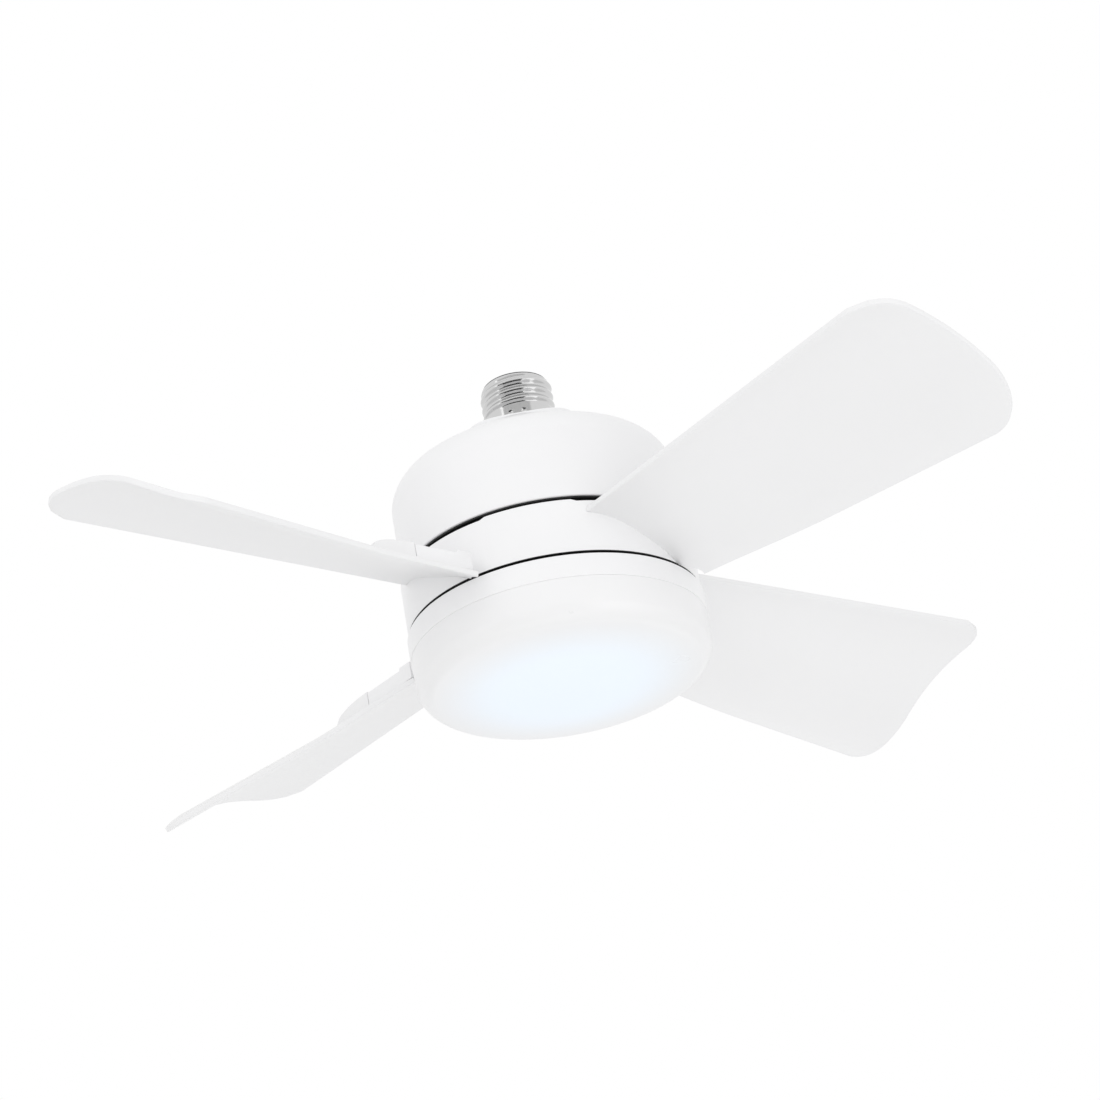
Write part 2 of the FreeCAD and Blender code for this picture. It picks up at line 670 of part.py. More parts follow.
def section_wire(place, thickness):
    """The closed cross-section of a blade: the middle curve, thickened up and down."""
    points = control_points(place)
    rails = []
    for side in (1, -1):
        rail = []
        for index, point in enumerate(points):
            along = points[min(index + 1, 3)] - points[max(index - 1, 0)]
            along.normalize()
            rail.append(point + Vector(0, -along.z, along.y) * (thickness / 2 * side))
        rails.append(rail)
    upper, lower = rails
    edges = [bezier(upper), Part.makeLine(upper[-1], lower[-1]), bezier(lower), Part.makeLine(lower[0], upper[0])]
    return Part.Wire(Part.__sortEdges__(edges))


def blade_slab(start, end, grow=0.0):
    """The blade's curved slab between two places along it."""
    thickness = dim("blade_thickness").value + 2 * grow
    return Part.makeLoft([section_wire(place, thickness) for place in (start, end)], True, True)


def tip_trimmer(side, radius):
    """What a rounded tip corner loses; the side is -1 at the high edge and 1 at the low edge."""
    tip = dim("blade_tip").value
    pick = 0 if side < 0 else -1
    edge, root_edge = control_points(tip)[pick].y, control_points(ROOT_PLACE)[pick].y
    lean = math.atan2(edge - root_edge, tip - ROOT_PLACE)
    # the round touches the tip's line and the leaning edge
    centre = Vector(tip - radius, edge - radius * math.tan(lean) - side * radius / math.cos(lean), 0)
    touch = centre + Vector(-side * math.sin(lean), side * math.cos(lean), 0) * radius
    middle = centre + Vector(math.cos(math.radians(45)), side * math.sin(math.radians(45)), 0) * radius
    end = Vector(tip, centre.y, 0)
    beyond = tip + CORNER_MARGIN
    aside = edge + side * CORNER_MARGIN
    outline = [end, Vector(beyond, centre.y, 0), Vector(beyond, aside, 0), Vector(touch.x, aside, 0), touch]
    edges = [Part.Arc(touch, middle, end).toShape()]
    edges += [Part.makeLine(one, two) for one, two in zip(outline, outline[1:])]
    face = Part.Face(Part.Wire(Part.__sortEdges__(edges)))
    face.translate(Vector(0, 0, blade_base - BLADE_REACH))
    return face.extrude(Vector(0, 0, 2 * BLADE_REACH))


def make_blade_shape():
    """One blade along +X, with the tab that goes through the drum's wall and the fin behind the arm."""
    tip, root = dim("blade_tip").value, dim("blade_root").value
    drum, clear = dim("drum_radius").value, dim("root_relief").value
    slab = blade_slab(root, tip)
    for side, name in ((-1, "high_corner_round"), (1, "low_corner_round")):
        slab = slab.cut(tip_trimmer(side, dim(name).value))
    # below the drum's edge the blade keeps clear of the fixed lamp
    lamp_room = Part.makeCylinder(dim("lamp_radius").value + clear, 40, Vector(0, 0, blade_base - 40))
    drum_room = Part.makeCylinder(drum, 60, Vector(0, 0, blade_base))
    tab_low, tab_high = dim("tab_low").value, dim("tab_high").value
    tab = Part.makeBox(60, tab_high - tab_low, 80, Vector(0, tab_low, blade_base - 20))
    slab = slab.cut(lamp_room).cut(drum_room.cut(tab))
    return slab


blade_shape = make_blade_shape()


def make_arm_shapes():
    """The arm on the blade's upper face, and the fin moulded on the blade beyond it."""
    side, width = dim("arm_side").value, dim("arm_width").value
    start = dim("lamp_radius").value + dim("root_relief").value
    end = dim("arm_end").value
    height = dim("arm_height").value
    half = width / 2

    def surface(place, across):
        """Height of the blade's middle surface."""
        line = Part.makeLine(Vector(place, across, blade_base - BLADE_REACH),
                             Vector(place, across, blade_base + BLADE_REACH))
        return bezier(control_points(place)).distToShape(line)[1][0][0].z

    rails = []
    for place in (start, end):
        base = [surface(place, side - half), surface(place, side + half)]
        top = surface(place, side) + dim("blade_thickness").value / 2 + height
        rails.append(Part.makePolygon([
            Vector(place, side - half, base[0]), Vector(place, side + half, base[1]),
            Vector(place, side + half, top - 0.6), Vector(place, side - half, top),
            Vector(place, side - half, base[0])]))
    bar = Part.makeLoft(rails, True, True)
    # the tongue goes level through the drum's wall
    tongue_low = blade_base + 0.9
    tongue_back = 43.5
    tongue = Part.makeBox(start + 6 - tongue_back, width, dim("tongue_height").value,
                          Vector(tongue_back, side - half, tongue_low))
    arm = bar.fuse(tongue).cut(blade_shape).removeSplitter()
    arm = max(arm.Solids, key=lambda solid: solid.Volume)

    # two sunk screws go through the arm into the blade
    shank, head = dim("screw_radius").value, dim("screw_head_radius").value
    head_height = dim("screw_head_height").value
    screws = []
    for place in (start + (end - start) * 0.3, start + (end - start) * 0.75):
        middle = surface(place, side)
        head_top = middle + dim("blade_thickness").value / 2 + height - 0.6
        rod = Part.makeCylinder(shank, head_top - head_height - middle, Vector(place, side, middle))
        cap = Part.makeCylinder(head, head_height, Vector(place, side, head_top - head_height))
        well = Part.makeCylinder(head, head_height + 4, Vector(place, side, head_top - head_height))
        screws.append(rod.fuse(cap).removeSplitter())
        arm = arm.cut(rod.fuse(well))

    fin_half = dim("fin_width").value / 2
    fin_end = end + dim("fin_length").value
    fin_tops = []
    ridge = side
    for place, share in ((end + 0.3, 1.0), (end + (fin_end - end) * 0.5, 0.72), (fin_end, 0.0)):
        fin_tops.append(Vector(place, ridge - fin_half, surface(place, ridge) + 0.6 + height * share))
    arch = Part.BSplineCurve()
    arch.interpolate(fin_tops)
    foot = [Vector(fin_end, ridge - fin_half, surface(fin_end, ridge)),
            Vector(end + 0.3, ridge - fin_half, surface(end, ridge))]
    edges = [arch.toShape(), Part.makeLine(fin_tops[-1], foot[0]), Part.makeLine(foot[0], foot[1]),
             Part.makeLine(foot[1], fin_tops[0])]
    fin = Part.Face(Part.Wire(Part.__sortEdges__(edges))).extrude(Vector(0, 2 * fin_half, 0))
    return arm, fin, screws


arm_shape, fin_shape, arm_screws = make_arm_shapes()
blade_shape = blade_shape.fuse(fin_shape).removeSplitter()
for one in arm_screws:
    blade_shape = blade_shape.cut(one)


def placed(name, shape, azimuth):
    """One fixed copy of a shape, turned about the Z axis by its Placement."""
    feature = doc.addObject("Part::Feature", name + "_shape")
    feature.Shape = shape
    feature.Placement = Placement(Vector(0, 0, 0), Rotation(Vector(0, 0, 1), azimuth))
    return keep(name, feature)


for number, azimuth in enumerate(BLADE_AZIMUTHS, start=1):
    placed(f"blade_{number}", blade_shape, azimuth)
    placed(f"blade_arm_{number}", arm_shape, azimuth)


screw_pair = doc.addObject("Part::Feature", "blade_screw_pair")
screw_pair.Shape = Part.makeCompound(arm_screws)
ring_of("blade_screws", screw_pair, len(BLADE_AZIMUTHS), BLADE_AZIMUTHS[0])


# ---------------------------------------------------------------------------------------------
# Drum that carries the blades
# ---------------------------------------------------------------------------------------------
def make_drum():
    radius, wall, floor = dim("drum_radius"), dim("drum_wall"), dim("drum_floor")
    pocket = dim("bearing_radius")
    floor_top = drum_low + floor
    cup = dim("cup_radius")
    body = new_body("drum_blank")
    revolve(body, [
        (pocket, drum_low), (radius, drum_low), (radius, drum_top), (radius - wall, drum_top),
        (radius - wall, floor_top), (pocket + 2.0, floor_top), (pocket + 2.0, lower_bearing_top),
        (pocket, lower_bearing_top)])
    # a slot for each blade's tab and one for each arm's tongue
    clear = dim("blade_clearance").value
    slab = blade_slab(dim("blade_root").value, dim("blade_tip").value, clear)
    tab_low, tab_high = dim("tab_low").value - clear, dim("tab_high").value + clear
    slot = slab.common(Part.makeBox(56, tab_high - tab_low, 80, Vector(0, tab_low, blade_base - 20)))
    half = dim("arm_width").value / 2 + clear
    side = dim("arm_side").value
    slot_low = blade_base + 0.9 - clear
    slot_two = Part.makeBox(20, 2 * half, dim("tongue_height").value + 2 * clear, Vector(40, side - half, slot_low))
    # over each blade root the drum's top edge is a little lower
    notch_depth, notch_angle = dim("rim_notch").value, dim("rim_notch_angle").value
    notch = Part.makeCylinder(radius.value + 2, 10, Vector(0, 0, drum_top.value - notch_depth), Vector(0, 0, 1),
                              notch_angle)
    notch.rotate(Vector(0, 0, 0), Vector(0, 0, 1), -notch_angle / 2 - dim("rim_notch_lead").value)
    screw_depth = floor.value * 0.6
    screw_hole = Part.makeCylinder(dim("screw_radius").value, screw_depth + 0.5,
                                   Vector(cup.value + dim("cup_flange").value / 2, 0, floor_top.value - screw_depth))
    screw_hole.rotate(Vector(0, 0, 0), Vector(0, 0, 1), -BLADE_AZIMUTHS[0])
    slots = doc.addObject("Part::Feature", "drum_slots")
    turned = []
    for azimuth in BLADE_AZIMUTHS:
        for shape in (slot, slot_two, notch, screw_hole):
            copy = shape.copy()
            copy.rotate(Vector(0, 0, 0), Vector(0, 0, 1), azimuth)
            turned.append(copy)
    slots.Shape = Part.makeCompound(turned)
    keep("hub_drum", cut("hub_drum_cut", body, slots))


make_drum()
cup_screw = screw("cup_screw", dim("cup_radius") + dim("cup_flange") / 2, ZERO,
                  cup_foot + dim("cup_wall") + dim("screw_head_height"),
                  dim("screw_head_height") + dim("cup_wall") + dim("drum_floor") * 0.6)
ring_of("cup_screws", cup_screw, 4)


# ---------------------------------------------------------------------------------------------
# Lamp
# ---------------------------------------------------------------------------------------------
def make_lamp():
    radius, wall = dim("lamp_radius"), dim("ring_wall")
    inner = radius - wall
    bevel = dim("rim_bevel")
    turned_piece("lamp_ring", [
        (inner - 5.0, pan_top), (inner, pan_top), (inner, ring_low), (radius, ring_low), (radius, ring_top - bevel),
        (radius - bevel, ring_top), (inner - 5.0, ring_top)])
    tail = dim("shaft_tail")
    turned_piece("lamp_pan", [
        (tail, pan_low), (inner - 0.1, pan_low), (inner - 0.1, pan_top), (tail + 1.6, pan_top),
        (tail + 1.6, drum_low), (tail, drum_low)])
    washer_piece("led_board", dim("led_board_radius"), dim("led_board_bore"), led_board_low, pan_low)
    half = dim("led_size") / 2
    count = int(dim("led_count").value)
    thick = 0.7
    rows = []
    for row_name, circle in (("outer_led", as_size(38.0)), ("inner_led", as_size(23.0))):
        rows.append(box(row_name, (circle - half, -half, led_board_low - thick), (circle + half, half, led_board_low)))
    doc.recompute()
    group = doc.addObject("Part::Feature", "led_group")
    chips = []
    for piece, total in zip(rows, (count * 2 // 3, count // 3)):
        for index in range(total):
            copy = piece.Shape.copy()
            copy.rotate(Vector(0, 0, 0), Vector(0, 0, 1), 360.0 * index / total)
            chips.append(copy)
    group.Shape = Part.makeCompound(chips)
    keep("led_chips", group)

    # opal cover: a short wall, a rounded corner and a shallow dome, with a spigot inside the ring
    outer, skin = dim("diffuser_radius"), dim("diffuser_wall")
    corner, crown = diffuser_corner, dim("diffuser_crown")
    spigot = inner - 0.15
    top = ring_low + dim("diffuser_spigot")
    dome = []
    inside = []
    for share in (0.75, 0.5, 0.25, 0.0):
        dome.append((outer * share, corner - crown * (1 - share ** 2)))
        inside.append(((outer - skin) * share, corner + skin - crown * (1 - share ** 2)))
    turned_piece("diffuser", [
        (spigot - skin, top), (spigot, top), (spigot, ring_low), (outer + 0.5, ring_low),
        (outer, corner, dim("diffuser_round"))] + dome + list(reversed(inside))
        + [(outer - skin, corner + skin, dim("diffuser_round") - skin)])


make_lamp()


# ---------------------------------------------------------------------------------------------
# Check every object, then write one file per piece
# ---------------------------------------------------------------------------------------------
doc.recompute()
for item in doc.Objects:
    if "Invalid" in item.State or "Error" in item.State:
        raise RuntimeError(f"{item.Label} failed: {item.State}")
for name, piece in nodes.items():
    if piece.Shape.isNull() or not piece.Shape.isValid() or not piece.Shape.Solids:
        raise RuntimeError(f"{name} has no valid solid")
os.makedirs("parts", exist_ok=True)
for name, piece in nodes.items():
    piece.Shape.exportStep(f"parts/{name}.step")
print(f"{len(nodes)} pieces written")
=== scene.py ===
# %% [markdown]
# # A ceiling fan light that screws into a lampholder
#
# The real thing is a white plastic fan light. A nickel screw base goes into the lampholder, a domed
# housing hangs from it and hides the driver, a drum with four pitched blades spins below that, and a
# round opal lamp hangs still under the drum. This lesson dresses the CAD model of it in finer
# meshes and finishes, and lights it for a picture taken from below.

import bmesh
import bpy
import json
import math
from mathutils import Matrix, Vector

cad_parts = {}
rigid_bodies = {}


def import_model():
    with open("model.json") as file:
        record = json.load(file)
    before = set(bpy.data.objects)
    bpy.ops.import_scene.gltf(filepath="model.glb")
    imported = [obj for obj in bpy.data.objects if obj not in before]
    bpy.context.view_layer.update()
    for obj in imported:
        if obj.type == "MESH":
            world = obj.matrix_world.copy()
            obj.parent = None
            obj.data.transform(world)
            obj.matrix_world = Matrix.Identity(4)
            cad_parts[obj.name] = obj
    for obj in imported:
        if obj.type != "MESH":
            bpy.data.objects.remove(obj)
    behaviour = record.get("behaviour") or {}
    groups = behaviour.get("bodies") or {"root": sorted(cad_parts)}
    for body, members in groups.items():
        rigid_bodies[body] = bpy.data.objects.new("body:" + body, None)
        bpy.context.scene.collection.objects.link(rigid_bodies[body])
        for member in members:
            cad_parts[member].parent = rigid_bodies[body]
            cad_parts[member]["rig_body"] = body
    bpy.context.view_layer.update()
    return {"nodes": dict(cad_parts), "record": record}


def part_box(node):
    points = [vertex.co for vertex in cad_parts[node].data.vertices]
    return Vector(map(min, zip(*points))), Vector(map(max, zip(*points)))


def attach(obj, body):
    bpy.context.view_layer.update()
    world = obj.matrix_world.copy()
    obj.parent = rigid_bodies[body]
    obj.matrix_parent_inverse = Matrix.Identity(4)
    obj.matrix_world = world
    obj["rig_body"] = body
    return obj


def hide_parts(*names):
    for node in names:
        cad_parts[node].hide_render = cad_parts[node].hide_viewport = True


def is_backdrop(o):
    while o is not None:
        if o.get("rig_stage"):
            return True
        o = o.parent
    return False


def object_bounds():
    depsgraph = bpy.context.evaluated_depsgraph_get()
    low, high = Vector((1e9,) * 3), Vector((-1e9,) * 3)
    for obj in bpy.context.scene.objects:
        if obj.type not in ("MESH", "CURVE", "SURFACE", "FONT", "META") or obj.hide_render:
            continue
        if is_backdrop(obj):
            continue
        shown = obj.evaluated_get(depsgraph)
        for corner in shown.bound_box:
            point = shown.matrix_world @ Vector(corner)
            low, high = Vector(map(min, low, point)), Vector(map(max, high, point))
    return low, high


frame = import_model()
cad_nodes = frame["nodes"]
node_slots = {part["node"]: part["material_slot"] for part in frame["record"]["subparts"]}

# %% [markdown]
# ## Sizes
#
# Blender works in metres, and a hand-sized product is easier to read in millimetres, so every size is
# written as a number times `mm`. The heights and radii that other pieces share are measured on the
# CAD nodes instead of being typed again. A box gives them, because every turned piece stands on the
# Z axis.

# %% Measure the CAD nodes
mm = 0.001


def top_of(node):
    """The height of a CAD node's top."""
    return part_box(node)[1].z


def bottom_of(node):
    """The height of a CAD node's bottom."""
    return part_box(node)[0].z


def radius_of(node):
    """The outer radius of a turned CAD node."""
    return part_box(node)[1].x


housing_radius = radius_of("upper_housing")
drum_radius = radius_of("hub_drum")
ring_radius = radius_of("lamp_ring")
thread_radius = radius_of("screw_shell")
print(f"housing {housing_radius / mm:.1f}, drum {drum_radius / mm:.1f}, ring {ring_radius / mm:.1f} mm")
print(f"gaps: {(bottom_of('upper_housing') - top_of('hub_drum')) / mm:.2f} over the drum, "
      f"{(bottom_of('hub_drum') - top_of('lamp_ring')) / mm:.2f} mm under it")

# %% [markdown]
# ## Helpers for meshes
#
# Most of this product is turned, so its pieces start as half an outline that is spun about the Z
# axis. A corner that is round on the real piece is rounded in the outline, where a bevel of a single
# vertex is exact and cheap. A bevel after the spin would have to pick out rings of edges again.
#
# A finished piece takes the place of its CAD node: it rides on the same body and carries the same
# finish, so it still moves with the joint.

# %% Spin an outline
SPIN_STEPS = 160
ON_AXIS = 0.001 * mm


def outline(mesh, points, closed=True):
    """Edges through the points, which are (radius, height) pairs."""
    corners = [mesh.verts.new((radius, 0, height)) for radius, height in points]
    following = corners[1:] + corners[:1] if closed else corners[1:]
    for first, second in zip(corners, following):
        mesh.edges.new((first, second))
    return corners


def round_corner(mesh, corner, radius, steps=8):
    """A round at one corner of an outline, as large as the real edge's radius."""
    one, two = [edge.other_vert(corner).co - corner.co for edge in corner.link_edges]
    reach = radius / math.tan(one.angle(two) / 2)
    bmesh.ops.bevel(mesh, geom=[corner], offset=reach, segments=steps, profile=0.5,
                    affect="VERTICES", material=-1)


def spin(mesh, steps=SPIN_STEPS):
    """A full turn of everything in the mesh about the Z axis."""
    everything = mesh.verts[:] + mesh.edges[:]
    bmesh.ops.spin(mesh, geom=everything, cent=(0, 0, 0), axis=(0, 0, 1), dvec=(0, 0, 0),
                   angle=math.tau, steps=steps, use_merge=True)
    pole = [vertex for vertex in mesh.verts if vertex.co.xy.length < ON_AXIS]
    bmesh.ops.remove_doubles(mesh, verts=pole, dist=ON_AXIS)


def turned(points, rounds=()):
    """A turned solid from a closed outline; rounds are (corner number, radius) pairs."""
    mesh = bmesh.new()
    corners = outline(mesh, points)
    for number, radius in rounds:
        round_corner(mesh, corners[number], radius)
    spin(mesh)
    return mesh


# %% Turn a mesh into a piece of the model
SHARP = math.radians(35)


def add_object(name, data):
    """A new object in the scene, at the origin."""
    made = bpy.data.objects.new(name, data)
    bpy.context.scene.collection.objects.link(made)
    return made


def piece(name, mesh, node, *finishes):
    """Make the finished object that stands for a CAD node, with its normals pointing out."""
    bmesh.ops.recalc_face_normals(mesh, faces=mesh.faces[:])
    data = bpy.data.meshes.new(name)
    mesh.to_mesh(data)
    mesh.free()
    data.shade_smooth()
    data.set_sharp_from_angle(angle=SHARP)
    for material in finishes:
        data.materials.append(material)
    made = add_object(name, data)
    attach(made, cad_nodes[node]["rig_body"])
    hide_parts(node)
    print(f"{name}: {len(data.polygons)} faces")


# %% [markdown]
# ## Finishes
#
# Moulded plastic is never perfectly even. A little noise in its roughness breaks up the highlight,
# and a very fine bump gives it the skin of a spark-eroded mould. Both are noise on the Object
# coordinates, so they stay put on the piece. The same helper makes the metals, with other numbers.
# A painted texture would also do, but these surfaces have no pattern for it to show.

# %% A helper for procedural finishes
NOISE_DETAIL = 4
SKIN_FINENESS = 30
SKIN_DEPTH = 0.1 * mm


def finish(name, colour, roughness, metallic=0.0, spread=0.06, grain=60.0, depth=0.02,
           second=None, **extra):
    """A material whose roughness and skin vary a little.

    spread is how far the roughness strays, grain how fine the noise is and depth how strong the
    skin's bump is. With a second colour the noise runs from one to the other.
    """
    material = bpy.data.materials.new(name)
    material.use_nodes = True
    nodes, links = material.node_tree.nodes, material.node_tree.links
    shader = nodes["Principled BSDF"]
    shader.inputs["Base Color"].default_value = (*colour, 1)
    shader.inputs["Metallic"].default_value = metallic
    for socket, value in extra.items():
        shader.inputs[socket.replace("_", " ")].default_value = value
    place = nodes.new("ShaderNodeTexCoord")
    noise = nodes.new("ShaderNodeTexNoise")
    noise.inputs["Scale"].default_value = grain
    noise.inputs["Detail"].default_value = NOISE_DETAIL
    links.new(place.outputs["Object"], noise.inputs["Vector"])
    band = nodes.new("ShaderNodeMapRange")
    band.inputs["To Min"].default_value = roughness - spread
    band.inputs["To Max"].default_value = roughness + spread
    links.new(noise.outputs["Fac"], band.inputs["Value"])
    links.new(band.outputs["Result"], shader.inputs["Roughness"])
    skin = nodes.new("ShaderNodeTexNoise")
    skin.inputs["Scale"].default_value = grain * SKIN_FINENESS
    links.new(place.outputs["Object"], skin.inputs["Vector"])
    bump = nodes.new("ShaderNodeBump")
    bump.inputs["Strength"].default_value = depth
    bump.inputs["Distance"].default_value = SKIN_DEPTH
    links.new(skin.outputs["Fac"], bump.inputs["Height"])
    links.new(bump.outputs["Normal"], shader.inputs["Normal"])
    if second is not None:
        ramp = nodes.new("ShaderNodeValToRGB")
        ramp.color_ramp.elements[0].color = (*colour, 1)
        ramp.color_ramp.elements[1].color = (*second, 1)
        links.new(noise.outputs["Fac"], ramp.inputs["Fac"])
        links.new(ramp.outputs["Color"], shader.inputs["Base Color"])
    return material


# %% Plastics and rubber
housing_white = finish("satin white plastic", (0.86, 0.86, 0.87), 0.34, second=(0.88, 0.88, 0.885))
blade_white = finish("blade white plastic", (0.84, 0.84, 0.845), 0.4, second=(0.86, 0.86, 0.865),
                     grain=40)
# Black moulded plastic of the real black parts; the drum's bottom edge and the ring's ledge also use it
# as painted gap shade.
black_plastic_and_gap_shade = finish("black moulded plastic", (0.012, 0.012, 0.012), 0.55)
nylon = finish("natural nylon", (0.72, 0.7, 0.65), 0.45, second=(0.76, 0.74, 0.69))
black_glaze = finish("black glazed insulator", (0.01, 0.01, 0.012), 0.12, spread=0.03,
                     Coat_Weight=0.4)
moulded_black = finish("moulded black package", (0.02, 0.02, 0.022), 0.5)
sleeve = finish("shrink sleeve", (0.012, 0.012, 0.03), 0.3)
lead_red = finish("insulated lead", (0.5, 0.02, 0.015), 0.45)
solder_mask = finish("green solder mask", (0.012, 0.11, 0.03), 0.3, second=(0.015, 0.13, 0.04))
white_mask = finish("white solder mask", (0.8, 0.8, 0.78), 0.35)
phosphor = finish("phosphor package", (0.9, 0.72, 0.22), 0.5)

# %% Metals
nickel = finish("bright nickel", (0.62, 0.62, 0.62), 0.13, metallic=1.0, spread=0.05, grain=120,
                depth=0.03)
tin = finish("tinned contact", (0.62, 0.61, 0.58), 0.3, metallic=1.0, spread=0.1)
turned_steel = finish("turned steel", (0.5, 0.5, 0.51), 0.3, metallic=1.0)
ground_steel = finish("ground steel", (0.68, 0.68, 0.7), 0.12, metallic=1.0, spread=0.03)
lamination = finish("electrical steel", (0.16, 0.16, 0.17), 0.45, metallic=1.0,
                    second=(0.2, 0.2, 0.21))
enamel_copper = finish("enamelled copper", (0.62, 0.2, 0.06), 0.28, metallic=1.0,
                       second=(0.7, 0.26, 0.09))
black_steel = finish("black coated steel", (0.015, 0.015, 0.015), 0.45)
ferrite = finish("sintered ferrite", (0.05, 0.05, 0.052), 0.6)
pressed_sheet = finish("pressed aluminium", (0.7, 0.71, 0.72), 0.35, metallic=1.0)
zinc = finish("zinc plated screw", (0.62, 0.62, 0.6), 0.28, metallic=1.0)

# %% [markdown]
# ## The opal cover's finish
#
# The cover is lit from behind by a plate of LEDs that stops short of its wall. That light is painted
# into the finish: its middle gets a painted glow, a bluer colour and a little emission, which fades to
# the plain colour towards the shoulder, so the shoulder looks greyer. The glow is worked out from the
# distance to the axis, in Object coordinates, so it belongs to the piece from every side.

# %% Opal plastic, lit from inside
GLOW_RADIUS = 52 * mm
FULL_GLOW_SHARE = 0.4
GLOW_STRENGTH = 0.1
GLOW_COLOUR = (0.75, 0.9, 1)
SHOULDER_TINT = (0.86, 0.86, 0.865)
MIDDLE_GLOW_COLOUR = (0.8, 0.86, 0.93)


def opal_finish():
    """Opal plastic with a painted glow in its middle, bluer and emitting, fading to plain at its
    shoulder.
    """
    material = finish("opal diffuser", (0.84, 0.86, 0.88), 0.3)
    nodes, links = material.node_tree.nodes, material.node_tree.links
    shader = nodes["Principled BSDF"]
    place = nodes.new("ShaderNodeTexCoord")
    split = nodes.new("ShaderNodeSeparateXYZ")
    flat = nodes.new("ShaderNodeCombineXYZ")
    reach = nodes.new("ShaderNodeVectorMath")
    reach.operation = "LENGTH"
    links.new(place.outputs["Object"], split.inputs["Vector"])
    links.new(split.outputs["X"], flat.inputs["X"])
    links.new(split.outputs["Y"], flat.inputs["Y"])
    links.new(flat.outputs["Vector"], reach.inputs[0])
    fade = nodes.new("ShaderNodeMapRange")
    fade.interpolation_type = "SMOOTHSTEP"
    fade.inputs["From Min"].default_value = FULL_GLOW_SHARE * GLOW_RADIUS
    fade.inputs["From Max"].default_value = GLOW_RADIUS
    fade.inputs["To Min"].default_value = 1
    fade.inputs["To Max"].default_value = 0
    links.new(reach.outputs["Value"], fade.inputs["Value"])
    # Painted glow: the base colour turns bluer towards the middle, where the LEDs behind light the
    # cover.
    painted_glow_ramp = nodes.new("ShaderNodeValToRGB")
    painted_glow_ramp.color_ramp.elements[0].color = (*SHOULDER_TINT, 1)
    painted_glow_ramp.color_ramp.elements[1].color = (*MIDDLE_GLOW_COLOUR, 1)
    links.new(fade.outputs["Result"], painted_glow_ramp.inputs["Fac"])
    links.new(painted_glow_ramp.outputs["Color"], shader.inputs["Base Color"])
    glow = nodes.new("ShaderNodeMath")
    glow.operation = "MULTIPLY"
    glow.inputs[1].default_value = GLOW_STRENGTH
    links.new(fade.outputs["Result"], glow.inputs[0])
    shader.inputs["Emission Color"].default_value = (*GLOW_COLOUR, 1)
    links.new(glow.outputs["Value"], shader.inputs["Emission Strength"])
    return material


opal = opal_finish()

# %% [markdown]
# ## Finishes for the inner parts
#
# The driver, the motor and the bearings are hidden inside the housing and the drum, but someone who
# takes the model apart sees them. They keep their CAD meshes, which already have the right form, and
# only get a finish each. The record names a material slot for every node, so one table from slots to
# finishes is enough.

# %% Give every CAD node its finish
SLOT_FINISH = {
    "nickel_shell": nickel, "base_glass": black_glaze, "base_contact": tin,
    "white_housing": housing_white, "black_plate": black_plastic_and_gap_shade, "white_drum": housing_white,
    "circuit_board": solder_mask, "dark_components": moulded_black, "capacitor_sleeve": sleeve,
    "white_plastic": nylon, "lead_wire": lead_red, "shaft_steel": turned_steel,
    "bearing_steel": ground_steel, "laminated_steel": lamination, "copper_coil": enamel_copper,
    "cup_steel": black_steel, "magnet_ferrite": ferrite, "lamp_pan_metal": pressed_sheet,
    "white_lamp_ring": housing_white, "led_board_white": white_mask, "led_phosphor": phosphor,
    "opal_cover": opal, "white_blade": blade_white, "white_arm": housing_white,
    "screw_steel": zinc,
}
for name, node in cad_nodes.items():
    for material_slot in node.material_slots:
        material_slot.material = SLOT_FINISH[node_slots[name]]
print(f"{len(SLOT_FINISH)} finishes on {len(cad_nodes)} nodes")

# %% [markdown]
# ## The screw base
#
# A lamp cap is thin brass sheet, nickel plated, with its thread rolled in. The thread is a helix, so
# a stack of rings would look wrong at the edge of the shell. Here a plain tube is spun first, and
# then every vertex moves in or out by a wave that climbs one pitch per turn. The wave fades at both
# ends, as the rolled thread does. Two small dents in the skirt are where the shell is staked to the
# housing's neck.

# %% Screw shell
THREAD_PITCH = 3.63 * mm
THREAD_DEPTH = 0.95 * mm
SHELL_WALL = 0.35 * mm
THREAD_ROWS = 120
SHELL_STEPS = 128
SKIRT_TOP = 7.6 * mm
THREAD_START = 0.5 * THREAD_PITCH
THREAD_END = 0.3 * THREAD_PITCH
PLAIN_TOP = 0.9 * mm
LIP_HEIGHT = 0.8 * mm
LIP_INSET = 0.5 * mm
DENT_AZIMUTHS = (-104, -81)
DENT_HEIGHT = 5.2 * mm
DENT_RADIUS = 1.0 * mm
DENT_DEPTH = 0.5 * mm
shell_low, shell_high = bottom_of("screw_shell"), top_of("screw_shell")


def ease(value):
    """0 below 0, 1 above 1 and smooth between."""
    value = min(max(value, 0), 1)
    return value * value * (3 - 2 * value)


def degrees_past(azimuth, place):
    """The angle from a place round the axis to an azimuth, between -180 and 180 degrees."""
    return (azimuth - place + 180) % 360 - 180


def thread_depth_at(height, turn):
    """How far the rolled thread stands in from its crest at this height and share of a turn."""
    share = height / THREAD_PITCH - turn
    strength = ease((height - SKIRT_TOP) / THREAD_START)
    strength *= ease((shell_high - PLAIN_TOP - height) / THREAD_END)
    crest = 0.5 + 0.5 * math.cos(math.tau * share)
    return THREAD_DEPTH * (1 - strength * crest)


def dent_at(height, azimuth):
    """How deep the stakes push the skirt in here."""
    depth = 0
    for place in DENT_AZIMUTHS:
        across = thread_radius * math.radians(degrees_past(azimuth, place))
        near = 1 - math.hypot(across, height - DENT_HEIGHT) / DENT_RADIUS
        depth += DENT_DEPTH * ease(near)
    return depth


